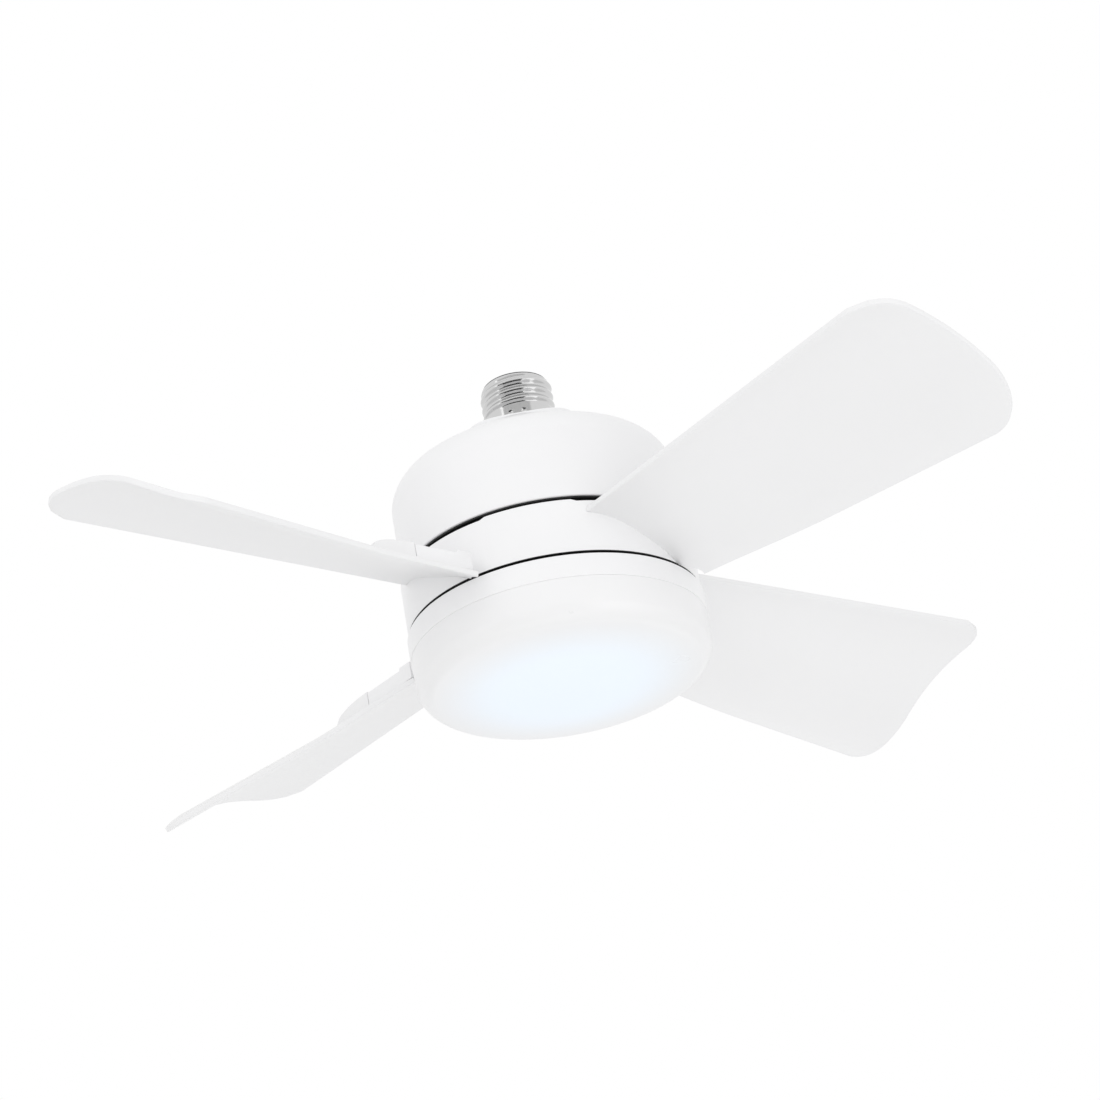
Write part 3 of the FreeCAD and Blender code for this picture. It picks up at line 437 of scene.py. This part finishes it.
def make_screw_shell():
    """A thin tube with the helix rolled in, and a lip that is turned in at the top."""
    mesh = bmesh.new()
    outline(mesh, [(thread_radius, shell_low), (thread_radius, shell_high)], closed=False)
    bmesh.ops.subdivide_edges(mesh, edges=mesh.edges[:], cuts=THREAD_ROWS)
    spin(mesh, SHELL_STEPS)
    for vertex in mesh.verts:
        height = vertex.co.z
        azimuth = math.atan2(vertex.co.y, vertex.co.x)
        inward = thread_depth_at(height, azimuth / math.tau) + dent_at(height, math.degrees(azimuth))
        inward += LIP_INSET * ease((height - shell_high + LIP_HEIGHT) / LIP_HEIGHT)
        share = 1 - inward / thread_radius
        vertex.co.x *= share
        vertex.co.y *= share
    bmesh.ops.recalc_face_normals(mesh, faces=mesh.faces[:])
    bmesh.ops.solidify(mesh, geom=mesh.faces[:], thickness=SHELL_WALL)
    piece("screw_base_shell", mesh, "screw_shell", nickel)


make_screw_shell()

# %% [markdown]
# ## The insulator and the contact
#
# On top of the shell sits a black glazed cone with a tinned contact in its middle. The photo looks
# from below, so this end follows what every such cap has. Both are turned, with soft glass edges.

# %% Insulator and centre contact
CONE_TAPER = 0.5 * mm
CONE_LAND = 0.4 * mm
CONE_STEP = 0.5 * mm
CONTACT_COLLAR = 0.7 * mm
CONTACT_TAPER = 0.94


def make_base_top():
    """The glazed cone on the shell and the drop of solder on the cone."""
    rim, contact_radius = radius_of("base_insulator"), radius_of("centre_contact")
    low, high, crown = bottom_of("base_insulator"), top_of("base_insulator"), top_of("centre_contact")
    cone = turned([(0, low), (rim - CONE_TAPER, low), (rim, shell_high),
                   (rim - CONE_LAND, shell_high + CONE_STEP), (contact_radius + CONTACT_COLLAR, high),
                   (0, high)],
                  [(2, 0.3 * mm), (3, 1.2 * mm), (4, 0.8 * mm)])
    piece("base_glass_cone", cone, "base_insulator", black_glaze)
    blob = turned([(0, high), (contact_radius, high), (contact_radius * CONTACT_TAPER, crown),
                   (0, crown)],
                  [(2, 1.0 * mm)])
    piece("contact_blob", blob, "centre_contact", tin)


make_base_top()

# %% [markdown]
# ## The upper housing
#
# One white moulding: a straight wall, a large round shoulder, a shallow cone and a low boss that the
# screw base stands on. Its neck goes up inside the shell. A cylinder with a bevelled edge would give
# the outside, but not the wall. So the outline is traced all the way round, outside and inside, and
# the spin gives a closed solid.
#
# The boss isn't quite round. It is a rounded square, so its edge is pushed out towards four corners
# after the spin, and slides down the cone as it goes.

# %% Upper housing
HOUSING_WALL = 2.2 * mm
SHOULDER_ROUND = 10.5 * mm
CROWN_SLOPE = math.radians(28.6)
BOSS_RADIUS = 20.7 * mm
BOSS_STEP = 0.7 * mm
BOSS_SLANT = 0.3 * mm
BOSS_SQUARENESS = 3.5
BOSS_EDGE_HALF = 0.8 * mm
BOSS_EDGE_BELOW = 0.4 * mm
NECK_WALL = 1.6 * mm
NECK_CLEARANCE = 0.15 * mm
GROOVE_DEPTH = 1 * mm
GROOVE_CLEARANCE = 0.05 * mm


def square_boss(mesh, rise):
    """Push the boss's edge out towards the corners of a rounded square, down along the cone."""
    for vertex in mesh.verts:
        radius = vertex.co.xy.length
        if vertex.co.z < -BOSS_STEP - BOSS_EDGE_BELOW or abs(radius - BOSS_RADIUS) > BOSS_EDGE_HALF:
            continue
        across, along = abs(vertex.co.x) / radius, abs(vertex.co.y) / radius
        reach = (across ** BOSS_SQUARENESS + along ** BOSS_SQUARENESS) ** (-1 / BOSS_SQUARENESS)
        vertex.co.x *= reach
        vertex.co.y *= reach
        vertex.co.z *= 1 + (reach - 1) * radius * rise / BOSS_STEP


def make_housing():
    """The domed moulding, whose boss is level with the origin."""
    rim, neck_top = bottom_of("upper_housing"), top_of("upper_housing")
    rise = math.tan(CROWN_SLOPE)
    corner = -BOSS_STEP - (housing_radius - BOSS_RADIUS) * rise
    neck = thread_radius - THREAD_DEPTH - SHELL_WALL - NECK_CLEARANCE
    bore = neck - NECK_WALL
    groove = thread_radius - THREAD_DEPTH + GROOVE_CLEARANCE
    inner = housing_radius - HOUSING_WALL
    inner_corner = corner - HOUSING_WALL * (1 / math.cos(CROWN_SLOPE) - rise)
    inner_boss = BOSS_RADIUS - HOUSING_WALL
    inner_top = inner_corner + (inner - inner_boss) * rise
    outside = [(housing_radius, rim), (housing_radius, corner), (BOSS_RADIUS + BOSS_SLANT, -BOSS_STEP),
               (BOSS_RADIUS, 0), (groove, 0), (groove, -GROOVE_DEPTH), (neck, -GROOVE_DEPTH),
               (neck, neck_top)]
    inside = [(bore, neck_top), (bore, inner_top), (inner_boss, inner_top), (inner, inner_corner),
              (inner, rim)]
    mesh = turned(outside + inside,
                  [(0, 0.5 * mm), (1, SHOULDER_ROUND), (2, 0.35 * mm), (3, 0.4 * mm), (4, 0.15 * mm),
                   (11, SHOULDER_ROUND - HOUSING_WALL), (12, 0.4 * mm)])
    square_boss(mesh, rise)
    piece("domed_housing", mesh, "upper_housing", housing_white)


make_housing()

# %% [markdown]
# ## A blade
#
# Each blade is a thin moulding with an S-shaped section: its high edge is nearly level, its middle
# dives and its low edge turns level again. The section at the drum and the one at the tip are each
# one Bezier curve, and the blade is the straight blend between them. Near the drum the low part is
# raised a little, so that it clears the lamp.
#
# A lattice or a curve could bend the blade too, but they are hard to steer to a drawing. A flat slab
# is easy to subdivide evenly, so the mesh starts as one and a single function then bends it. The
# function also rounds the tip's corners, follows the drum at the root, and softens the rim, which
# stays flat enough to catch a bright line of light.

# %% The blade's middle surface
ROOT_PLACE = 50 * mm
tip_place = 199.5 * mm
BLADE_THICKNESS = 2.0 * mm
ROOT_SECTION = [(-23.3, 16.1), (-7.0, 14.2), (8.5, 0.2), (21.2, -5.0)]
TIP_SECTION = [(-32.7, 18.3), (16.5, 17.7), (28.9, -7.6), (38.9, -8.7)]
BLADE_AZIMUTHS = {"blade_1": -45, "blade_2": 45, "blade_3": 135, "blade_4": 225}
ROOT_LIFT = 2 * mm
LIFT_REACH = 62 * mm
LOW_PART = 0.4
LOW_PART_BLEND = 0.35
blade_base = bottom_of("hub_drum")


def root_lift(place):
    """How far the low part of the blade is raised near the drum."""
    return ROOT_LIFT * (1 - ease((place - ROOT_PLACE) / LIFT_REACH))


def bezier(points, share):
    """The point at a share of a cubic Bezier curve, whose own points are in millimetres."""
    rest = 1 - share
    weights = (rest ** 3, 3 * rest ** 2 * share, 3 * rest * share ** 2, share ** 3)
    across = sum(weight * point[0] for weight, point in zip(weights, points))
    height = sum(weight * point[1] for weight, point in zip(weights, points))
    return Vector((0, across * mm, blade_base + height * mm))


def on_blade(place, share):
    """The middle surface at a place along the blade and a share of the way across it."""
    root, tip = bezier(ROOT_SECTION, share), bezier(TIP_SECTION, share)
    point = root.lerp(tip, (place - ROOT_PLACE) / (tip_place - ROOT_PLACE))
    point.x = place
    point.z += root_lift(place) * ease((share - LOW_PART) / LOW_PART_BLEND)
    return point


print(f"span of the blades {2 * tip_place / mm:.0f} mm")

# %% The blade's rim
ALONG_ROWS = 60
ACROSS_ROWS = 52
RIM_ROWS = 4
RIM_ROUND = 0.35 * mm
HIGH_CORNER = 16 * mm
LOW_CORNER = 20.6 * mm
TAB_SIDES = (-21 * mm, 9 * mm)
TAB_END = 44.5 * mm
ROOT_GAP = 0.1 * mm
LOW_ROOT_GAP = 6 * mm
LOW_ROOT_TOP = 1 * mm
LOW_ROOT_BLEND = 3.5 * mm
NEAR_EDGE = 0.001
half_thick = BLADE_THICKNESS / 2


def rim_step(row, rows):
    """(distance in from the rim, share of the full thickness) for a row of the slab."""
    turn = math.radians(90) * min(row, rows - row, RIM_ROWS) / RIM_ROWS
    return RIM_ROUND * (1 - math.cos(turn)), 1 - RIM_ROUND / half_thick * (1 - math.sin(turn))


def share_across(row, place):
    """How far across the blade a row lies; the rim rows keep their real distance from the edge."""
    inset, _ = rim_step(row, ACROSS_ROWS)
    first_speed = (on_blade(place, NEAR_EDGE) - on_blade(place, 0)).length / NEAR_EDGE
    last_speed = (on_blade(place, 1) - on_blade(place, 1 - NEAR_EDGE)).length / NEAR_EDGE
    first, last = inset / first_speed, 1 - inset / last_speed
    if row <= RIM_ROWS:
        return first
    if row >= ACROSS_ROWS - RIM_ROWS:
        return last
    return first + (last - first) * (row - RIM_ROWS) / (ACROSS_ROWS - 2 * RIM_ROWS)


def tip_end(share):
    """Where the blade ends at this share across, inside its rounded corners."""
    across = on_blade(tip_place, share).y
    for edge_share, corner in ((0, HIGH_CORNER), (1, LOW_CORNER)):
        inside = abs(across - on_blade(tip_place, edge_share).y)
        if inside < corner:
            return tip_place - corner + math.sqrt(corner ** 2 - (corner - inside) ** 2)
    return tip_place


def root_end(share):
    """Where the blade starts: its tab goes through the drum's wall, the rest follows drum and lamp."""
    point = on_blade(ROOT_PLACE, share)
    if TAB_SIDES[0] < point.y < TAB_SIDES[1]:
        return TAB_END
    gap = ROOT_GAP + LOW_ROOT_GAP * ease((blade_base + LOW_ROOT_TOP - point.z) / LOW_ROOT_BLEND)
    return math.sqrt((drum_radius + gap) ** 2 - point.y ** 2)


# %% Bend the slab into a blade
SLOPE_STEP = 0.002


def only(kind, geometry):
    """The verts or the edges out of an operator's mixed result."""
    return [item for item in geometry if isinstance(item, kind)]


def flat_slab():
    """A slab from 0 to 1 along and across, with its two faces at -1 and 1."""
    mesh = bmesh.new()
    bmesh.ops.create_grid(mesh, x_segments=ALONG_ROWS, y_segments=ACROSS_ROWS, size=0.5)
    bmesh.ops.translate(mesh, verts=mesh.verts[:], vec=(0.5, 0.5, -1))
    raised = bmesh.ops.extrude_face_region(mesh, geom=mesh.faces[:], use_keep_orig=True)["geom"]
    bmesh.ops.translate(mesh, verts=only(bmesh.types.BMVert, raised), vec=(0, 0, 2))
    return mesh


def bent(slab_point):
    """Where a point of the slab lies on the blade."""
    across_row = slab_point.y * ACROSS_ROWS
    along_row = slab_point.x * ALONG_ROWS
    start = root_end(share_across(across_row, ROOT_PLACE))
    end = tip_end(share_across(across_row, tip_place))
    inset, thick_along = rim_step(max(along_row, ALONG_ROWS / 2), ALONG_ROWS)
    plain_rows = ALONG_ROWS - RIM_ROWS
    if along_row > plain_rows:
        place = end - inset
    else:
        place = start + (end - RIM_ROUND - start) * along_row / plain_rows
    share = share_across(across_row, place)
    middle = on_blade(place, share)
    across = on_blade(place, min(share + SLOPE_STEP, 1)) - on_blade(place, max(share - SLOPE_STEP, 0))
    along = on_blade(place + mm, share) - middle
    normal = along.cross(across).normalized()
    _, thick_across = rim_step(across_row, ACROSS_ROWS)
    return middle + normal * half_thick * min(thick_along, thick_across) * slab_point.z


# %% [markdown]
# ## The fin on a blade
#
# A low arched fin stands on the blade beyond its arm. It stiffens the blade there. It is a strip whose
# foot follows the blade, filled as one face and extruded to its width. The search for the foot halves
# the blade's section again and again, because the curve can't be turned round into a formula.

# %% Fin
FIN_START = 81.3 * mm
FIN_LENGTH = 19 * mm
FIN_SIDE = 20.3 * mm
FIN_WIDTH = 1.8 * mm
FIN_HEIGHT = 5.2 * mm
FIN_STEPS = 12
HALVINGS = 30


def surface_at(place, across):
    """The point of the blade's middle surface above a place and a distance across."""
    low, high = 0.0, 1.0
    for _ in range(HALVINGS):
        share = (low + high) / 2
        if on_blade(place, share).y < across:
            low = share
        else:
            high = share
    return on_blade(place, low)


def add_fin(mesh):
    """The arched fin that stands on the blade just beyond the arm."""
    bottom, top = [], []
    for step in range(FIN_STEPS + 1):
        share = step / FIN_STEPS
        foot = surface_at(FIN_START + FIN_LENGTH * share, FIN_SIDE - FIN_WIDTH / 2)
        height = half_thick + FIN_HEIGHT * math.sqrt(1 - share ** 2)
        bottom.append(mesh.verts.new(foot))
        top.append(mesh.verts.new(foot + Vector((0, 0, height))))
    face = mesh.faces.new(bottom + top[::-1])
    wide = bmesh.ops.extrude_face_region(mesh, geom=[face], use_keep_orig=True)["geom"]
    bmesh.ops.translate(mesh, verts=only(bmesh.types.BMVert, wide), vec=(0, FIN_WIDTH, 0))


# %% All four blades
WELD = 0.01 * mm


def about_axis(azimuth):
    """A turn about the Z axis by an azimuth in degrees."""
    return Matrix.Rotation(math.radians(azimuth), 3, "Z")


def blade_mesh(azimuth):
    """One blade with its fin, turned to its place round the drum."""
    mesh = flat_slab()
    for vertex in mesh.verts:
        vertex.co = bent(vertex.co)
    bmesh.ops.remove_doubles(mesh, verts=mesh.verts[:], dist=WELD)
    add_fin(mesh)
    bmesh.ops.rotate(mesh, verts=mesh.verts[:], cent=(0, 0, 0), matrix=about_axis(azimuth))
    return mesh


for node, azimuth in BLADE_AZIMUTHS.items():
    piece(f"white_{node}", blade_mesh(azimuth), node, blade_white)

# %% [markdown]
# ## The drum
#
# The drum is a shallow white pot that spins with the blades. It is turned from one outline, so that
# it is open inside for the motor and has a collar for the lower bearing. Its top edge drops a little
# over each blade root, which is why the black gap above it looks thicker there.
#
# Both gaps read as black lines on the real thing, because no light gets in. White plastic mirrors too
# much of the studio for that, so the edge that looks into the gap is painted black, as painted shade
# of the gap. A second material slot does this without another piece.

# %% Drum
DRUM_WALL = 2 * mm
DRUM_FLOOR = 1.8 * mm
COLLAR_RADIUS = 10.5 * mm
COLLAR_WALL = 2 * mm
COLLAR_HEIGHT = 5 * mm
NOTCH_DEPTH = 0.7 * mm
NOTCH_HALF_ANGLE = 27
NOTCH_LEAD_ANGLE = -4
TOP_EDGE = 1 * mm
TOP_DROP = 0.35 * mm
PAINTED_SHADE_BOTTOM = 0.45 * mm
PAINTED_SHADE_BOTTOM_TILT = 0.3


def paint_gap_shade(mesh, chosen):
    """Painted shade: the second material, black, on the faces chosen by their tilt and their height."""
    bmesh.ops.recalc_face_normals(mesh, faces=mesh.faces[:])
    for face in mesh.faces:
        if chosen(face.normal.z, face.calc_center_median().z):
            face.material_index = 1


def make_drum():
    """The drum, notched over each blade root, with painted shade in black at its bottom edge."""
    low, high = bottom_of("hub_drum"), top_of("hub_drum") - TOP_DROP
    inner, collar = drum_radius - DRUM_WALL, COLLAR_RADIUS + COLLAR_WALL
    mesh = turned([(COLLAR_RADIUS, low), (drum_radius, low), (drum_radius, high), (inner, high),
                   (inner, low + DRUM_FLOOR), (collar, low + DRUM_FLOOR), (collar, low + COLLAR_HEIGHT),
                   (COLLAR_RADIUS, low + COLLAR_HEIGHT)],
                  [(1, 0.5 * mm), (2, 0.3 * mm), (3, 0.3 * mm)])
    notches = [azimuth + NOTCH_LEAD_ANGLE for azimuth in BLADE_AZIMUTHS.values()]
    for vertex in mesh.verts:
        azimuth = math.degrees(math.atan2(vertex.co.y, vertex.co.x))
        away = min(abs(degrees_past(azimuth, notch)) for notch in notches)
        if vertex.co.z > high - TOP_EDGE and away < NOTCH_HALF_ANGLE:
            vertex.co.z -= NOTCH_DEPTH
    # Painted shade: the bottom edge that looks into the gap under the drum gets the black material.
    paint_gap_shade(mesh, lambda tilt, height: tilt < -PAINTED_SHADE_BOTTOM_TILT and height < low + PAINTED_SHADE_BOTTOM)
    piece("spinning_drum", mesh, "hub_drum", housing_white, black_plastic_and_gap_shade)


make_drum()

# %% [markdown]
# ## Blade arms
#
# A bar lies on each blade near its low edge and goes into the drum, with two sunk screws. It could be
# modelled again from a box, but the CAD model already has its wells and screws in their places. Only
# its soft edges are missing. So its mesh is copied, its loose triangles are merged back into whole
# faces, and every sharp edge gets a small bevel.
#
# Three things are changed on the way. The tongue inside the drum is cut off, because nobody sees it
# there. The raised step at the bar's inner end is levelled. And the bar and its screws are moved with
# the blade, whose low part was raised near the drum.

# %% Copy, cut and level the arms
ARM_START = 54.3 * mm
STEP_END = 64 * mm
SAME_POINT = 0.001 * mm


def merged_copy(node):
    """The CAD node's mesh, with its loose triangles joined."""
    mesh = bmesh.new()
    mesh.from_mesh(cad_nodes[node].data)
    bmesh.ops.remove_doubles(mesh, verts=mesh.verts[:], dist=SAME_POINT)
    return mesh


def cut_tongue(mesh, azimuth):
    """Take away the tongue that is hidden inside the drum, and close the bar's end."""
    turn = math.radians(azimuth)
    outward = Vector((math.cos(turn), math.sin(turn), 0))
    everything = mesh.verts[:] + mesh.edges[:] + mesh.faces[:]
    cut = bmesh.ops.bisect_plane(mesh, geom=everything, plane_co=outward * ARM_START,
                                 plane_no=-outward, clear_outer=True)["geom_cut"]
    bmesh.ops.holes_fill(mesh, edges=only(bmesh.types.BMEdge, cut), sides=0)


def level_bar(mesh, azimuth):
    """Bring the raised step at the bar's inner end down to the height of the rest."""
    back = about_axis(-azimuth)
    top = max(vertex.co.z for vertex in mesh.verts if (back @ vertex.co).x > STEP_END)
    for vertex in mesh.verts:
        vertex.co.z = min(vertex.co.z, top)
    bmesh.ops.remove_doubles(mesh, verts=mesh.verts[:], dist=WELD)
    bmesh.ops.dissolve_degenerate(mesh, edges=mesh.edges[:], dist=WELD)


# %% Soften the edges and seat them on the blades
ARM_SOFT = 0.35 * mm
SCREW_SOFT = 0.1 * mm
ARM_SHIFT = 2 * mm
FLAT_ENOUGH = math.radians(1.5)


def seat_on_blade(mesh):
    """Move a mesh outwards, and up with the low part of the nearest blade."""
    for vertex in mesh.verts:
        angle = math.degrees(math.atan2(vertex.co.y, vertex.co.x))
        azimuth = min(BLADE_AZIMUTHS.values(), key=lambda blade: abs(degrees_past(angle, blade)))
        turn = about_axis(azimuth)
        local = turn.transposed() @ vertex.co
        local.x += ARM_SHIFT
        local.z += root_lift(local.x)
        vertex.co = turn @ local


def soften(mesh, softness, segments):
    """Bevel every sharp edge of a mesh whose flat faces are made whole first."""
    bmesh.ops.dissolve_limit(mesh, angle_limit=FLAT_ENOUGH, verts=mesh.verts[:],
                             edges=mesh.edges[:])
    sharp = [edge for edge in mesh.edges if edge.is_manifold and edge.calc_face_angle() > SHARP]
    bmesh.ops.bevel(mesh, geom=sharp, offset=softness, segments=segments, profile=0.5,
                    affect="EDGES", material=-1, clamp_overlap=True)


for blade, azimuth in BLADE_AZIMUTHS.items():
    node = blade.replace("blade", "blade_arm")
    bar = merged_copy(node)
    cut_tongue(bar, azimuth)
    level_bar(bar, azimuth)
    soften(bar, ARM_SOFT, 3)
    seat_on_blade(bar)
    piece(f"white_{node}", bar, node, housing_white)
arm_screws = merged_copy("blade_screws")
soften(arm_screws, SCREW_SOFT, 1)
seat_on_blade(arm_screws)
piece("arm_screws", arm_screws, "blade_screws", zinc)

# %% [markdown]
# ## The lamp
#
# A plain white band carries the opal cover, which bulges out of it with a round shoulder and a
# shallow dome. A flattened sphere would miss the step between the two, so both are turned from an
# outline. The band's top is painted black as painted shade, so that the running gap reads as a thin
# line.

# %% Lamp ring
RING_DROP = 0.5 * mm
RING_WALL = 1.8 * mm
LEDGE_WIDTH = 5 * mm
LEDGE_THICKNESS = 1 * mm
PAINTED_SHADE_TOP = 0.2 * mm
PAINTED_SHADE_TOP_TILT = 0.6


def make_lamp_ring():
    """The band, with an inward ledge at its top whose upper face is painted black as gap shade."""
    low, high = bottom_of("lamp_ring"), top_of("lamp_ring") - RING_DROP
    inner, under = ring_radius - RING_WALL, high - LEDGE_THICKNESS
    mesh = turned([(inner - LEDGE_WIDTH, under), (inner, under), (inner, low), (ring_radius, low),
                   (ring_radius, high), (inner - LEDGE_WIDTH, high)],
                  [(3, 0.2 * mm), (4, 0.3 * mm)])
    # Painted shade: the ledge's upper face, which looks into the gap under the drum, gets the black
    # material.
    paint_gap_shade(mesh, lambda tilt, height: tilt > PAINTED_SHADE_TOP_TILT and height > high - PAINTED_SHADE_TOP)
    piece("lamp_ring_band", mesh, "lamp_ring", housing_white, black_plastic_and_gap_shade)


make_lamp_ring()

# %% Opal cover
COVER_WALL = 1.8 * mm
COVER_ROUND = 6.5 * mm
COVER_CROWN = 3.2 * mm
COVER_RADIUS = 52.3 * mm
SPIGOT_INSET = 1.95 * mm
JOINT_STEP = 0.15 * mm
DOME_SHARES = (0.7, 0.35, 0)


def make_cover():
    """The opal cover, with the spigot that goes up inside the band."""
    joint, low, high = bottom_of("lamp_ring"), bottom_of("diffuser"), top_of("diffuser")
    corner = low + COVER_CROWN
    spigot = ring_radius - SPIGOT_INSET

    def dome(radius, edge, shares):
        """A shallow arch inwards from an edge's height, at shares of its radius."""
        return [(radius * share, edge - COVER_CROWN * (1 - share ** 2)) for share in shares]

    inner_radius, inner_corner = COVER_RADIUS - COVER_WALL, corner + COVER_WALL
    rim = [(spigot - COVER_WALL, high), (spigot, high), (spigot, joint),
           (ring_radius - JOINT_STEP, joint), (COVER_RADIUS, corner)]
    outside = dome(COVER_RADIUS, corner, DOME_SHARES)
    inside = dome(inner_radius, inner_corner, DOME_SHARES[::-1])
    mesh = bmesh.new()
    corners = outline(mesh, rim + outside + inside + [(inner_radius, inner_corner)])
    round_corner(mesh, corners[3], JOINT_STEP, 4)
    round_corner(mesh, corners[4], COVER_ROUND, 14)
    round_corner(mesh, corners[-1], COVER_ROUND - COVER_WALL, 10)
    spin(mesh)
    piece("opal_cover", mesh, "diffuser", opal)


make_cover()

# %% [markdown]
# ## The stage
#
# The picture has a pure white background. The world shows white to the camera and in reflections,
# while the light it sheds on the object stays plain. The floor lies far below, as under a ceiling
# lamp. Most of the light comes from the world, and four large soft lights add the shading, three in
# front and one low behind.
#
# Bright metal only looks like metal when it has something darker to mirror. So two cards stand in
# front of the screw base, a light grey one above it and a dark one below. Only reflections see them.

# %% World
AMBIENT = 0.88


def make_world():
    """A white world for camera, glossy and transmission rays, a dimmer one for all other light."""
    world = bpy.data.worlds.new("studio")
    bpy.context.scene.world = world
    world.use_nodes = True
    nodes, links = world.node_tree.nodes, world.node_tree.links
    ambient, white = nodes["Background"], nodes.new("ShaderNodeBackground")
    for background, strength in ((ambient, AMBIENT), (white, 1)):
        background.inputs["Color"].default_value = (1, 1, 1, 1)
        background.inputs["Strength"].default_value = strength
    path = nodes.new("ShaderNodeLightPath")
    shown = path.outputs["Is Camera Ray"]
    for ray in ("Is Glossy Ray", "Is Transmission Ray"):
        either = nodes.new("ShaderNodeMath")
        either.operation = "MAXIMUM"
        links.new(shown, either.inputs[0])
        links.new(path.outputs[ray], either.inputs[1])
        shown = either.outputs["Value"]
    mix = nodes.new("ShaderNodeMixShader")
    links.new(shown, mix.inputs["Fac"])
    links.new(ambient.outputs["Background"], mix.inputs[1])
    links.new(white.outputs["Background"], mix.inputs[2])
    links.new(mix.outputs["Shader"], nodes["World Output"].inputs["Surface"])


make_world()
bpy.context.scene.view_settings.view_transform = "Standard"

# %% Floor
FLOOR_HEIGHT = -1.5
FLOOR_SIZE = 8


def stage_plane(name, width, length, material):
    """A flat sheet of the stage in the XY plane, with its centre at the origin."""
    mesh = bmesh.new()
    bmesh.ops.create_grid(mesh, x_segments=1, y_segments=1, size=0.5)
    bmesh.ops.scale(mesh, verts=mesh.verts[:], vec=(width, length, 1))
    data = bpy.data.meshes.new(name)
    mesh.to_mesh(data)
    mesh.free()
    data.materials.append(material)
    sheet = add_object(name, data)
    sheet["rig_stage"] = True
    return sheet


pale_floor = finish("pale floor", (0.86, 0.86, 0.86), 0.7, spread=0.05, grain=4)
floor = stage_plane("floor", FLOOR_SIZE, FLOOR_SIZE, pale_floor)
floor.location = (0, 0, FLOOR_HEIGHT)

# %% Lights, each with its place, its size in metres and its power in watts
LIGHTS = {
    "soft_left": ((-1.1, -1.3, 0.35), 1.2, 2.5),
    "soft_front": ((-0.25, -1.5, -0.55), 1.4, 3.5),
    "soft_right": ((1.1, -1.1, -0.5), 1.4, 3.5),
    "soft_under": ((0.1, 0.8, -1.15), 1.4, 3.0),
}
LIGHT_TARGET = Vector((0, 0, -50 * mm))
for name, (place, size, power) in LIGHTS.items():
    light = bpy.data.lights.new(name, "AREA")
    light.size = size
    light.energy = power
    holder = add_object(name, light)
    holder.location = place
    holder.rotation_euler = (LIGHT_TARGET - Vector(place)).to_track_quat("-Z", "Y").to_euler()
    print(f"{name}: {power} W from {(LIGHT_TARGET - Vector(place)).length:.2f} m")

# %% Cards for the reflections, each with its azimuth, width, bottom, top and grey
CARDS = {
    "card_level": (-95, 1.1, 0.08, 0.46, 0.75),
    "card_low": (-100, 0.8, -0.6, 0.06, 0.03),
}
CARD_DISTANCE = 0.5
CARD_ROUGHNESS = 0.8
for name, (azimuth, width, low, high, grey) in CARDS.items():
    card = stage_plane(name, width, high - low, finish(name, (grey, grey, grey), CARD_ROUGHNESS))
    turn = math.radians(azimuth)
    card.location = (CARD_DISTANCE * math.cos(turn), CARD_DISTANCE * math.sin(turn), (low + high) / 2)
    card.rotation_euler = (math.radians(90), 0, turn + math.radians(90))
    card.visible_camera = card.visible_diffuse = False
    card.visible_shadow = card.visible_transmission = False
    print(f"{name}: {width:.2f} by {high - low:.2f} m")

# %% [markdown]
# ## The camera
#
# The fan light is seen from below and leans to one side in the picture. The camera is therefore
# placed by its distance, its angle from below and its roll, and then shifted a little to put the fan
# light where it belongs in the frame. A matrix made from its three directions is surer here than a
# chain of rotations.

# %% Camera
SENSOR = 36
FOCAL = 131.0
DISTANCE = 1415.6 * mm
FROM_BELOW = math.radians(25.61)
ROLL = math.radians(10.17)
AIM = Vector((0, 0, -73.3 * mm))
PICTURE_RIGHT = 2.15 * mm
PICTURE_UP = -24.6 * mm


def make_camera():
    """A camera that looks up at the lamp, rolled about its own view."""
    ahead = Vector((0, math.cos(FROM_BELOW), math.sin(FROM_BELOW)))
    level_up = Vector((0, -math.sin(FROM_BELOW), math.cos(FROM_BELOW)))
    level_right = Vector((1, 0, 0))
    right = level_right * math.cos(ROLL) - level_up * math.sin(ROLL)
    up = level_right * math.sin(ROLL) + level_up * math.cos(ROLL)
    data = bpy.data.cameras.new("camera")
    data.lens = FOCAL
    data.sensor_width = SENSOR
    camera = add_object("camera", data)
    camera.matrix_world = Matrix((right, up, -ahead)).transposed().to_4x4()
    camera.location = AIM - ahead * DISTANCE - right * PICTURE_RIGHT - up * PICTURE_UP
    bpy.context.scene.camera = camera
    print(f"camera {DISTANCE:.2f} m away, {math.degrees(FROM_BELOW):.1f} degrees below")


make_camera()

# %% Close the lesson
visual_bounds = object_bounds()
across, height = (visual_bounds[1][axis] - visual_bounds[0][axis] for axis in (0, 2))
print(f"the visual model is {across / mm:.1f} mm across and {height / mm:.1f} mm tall")
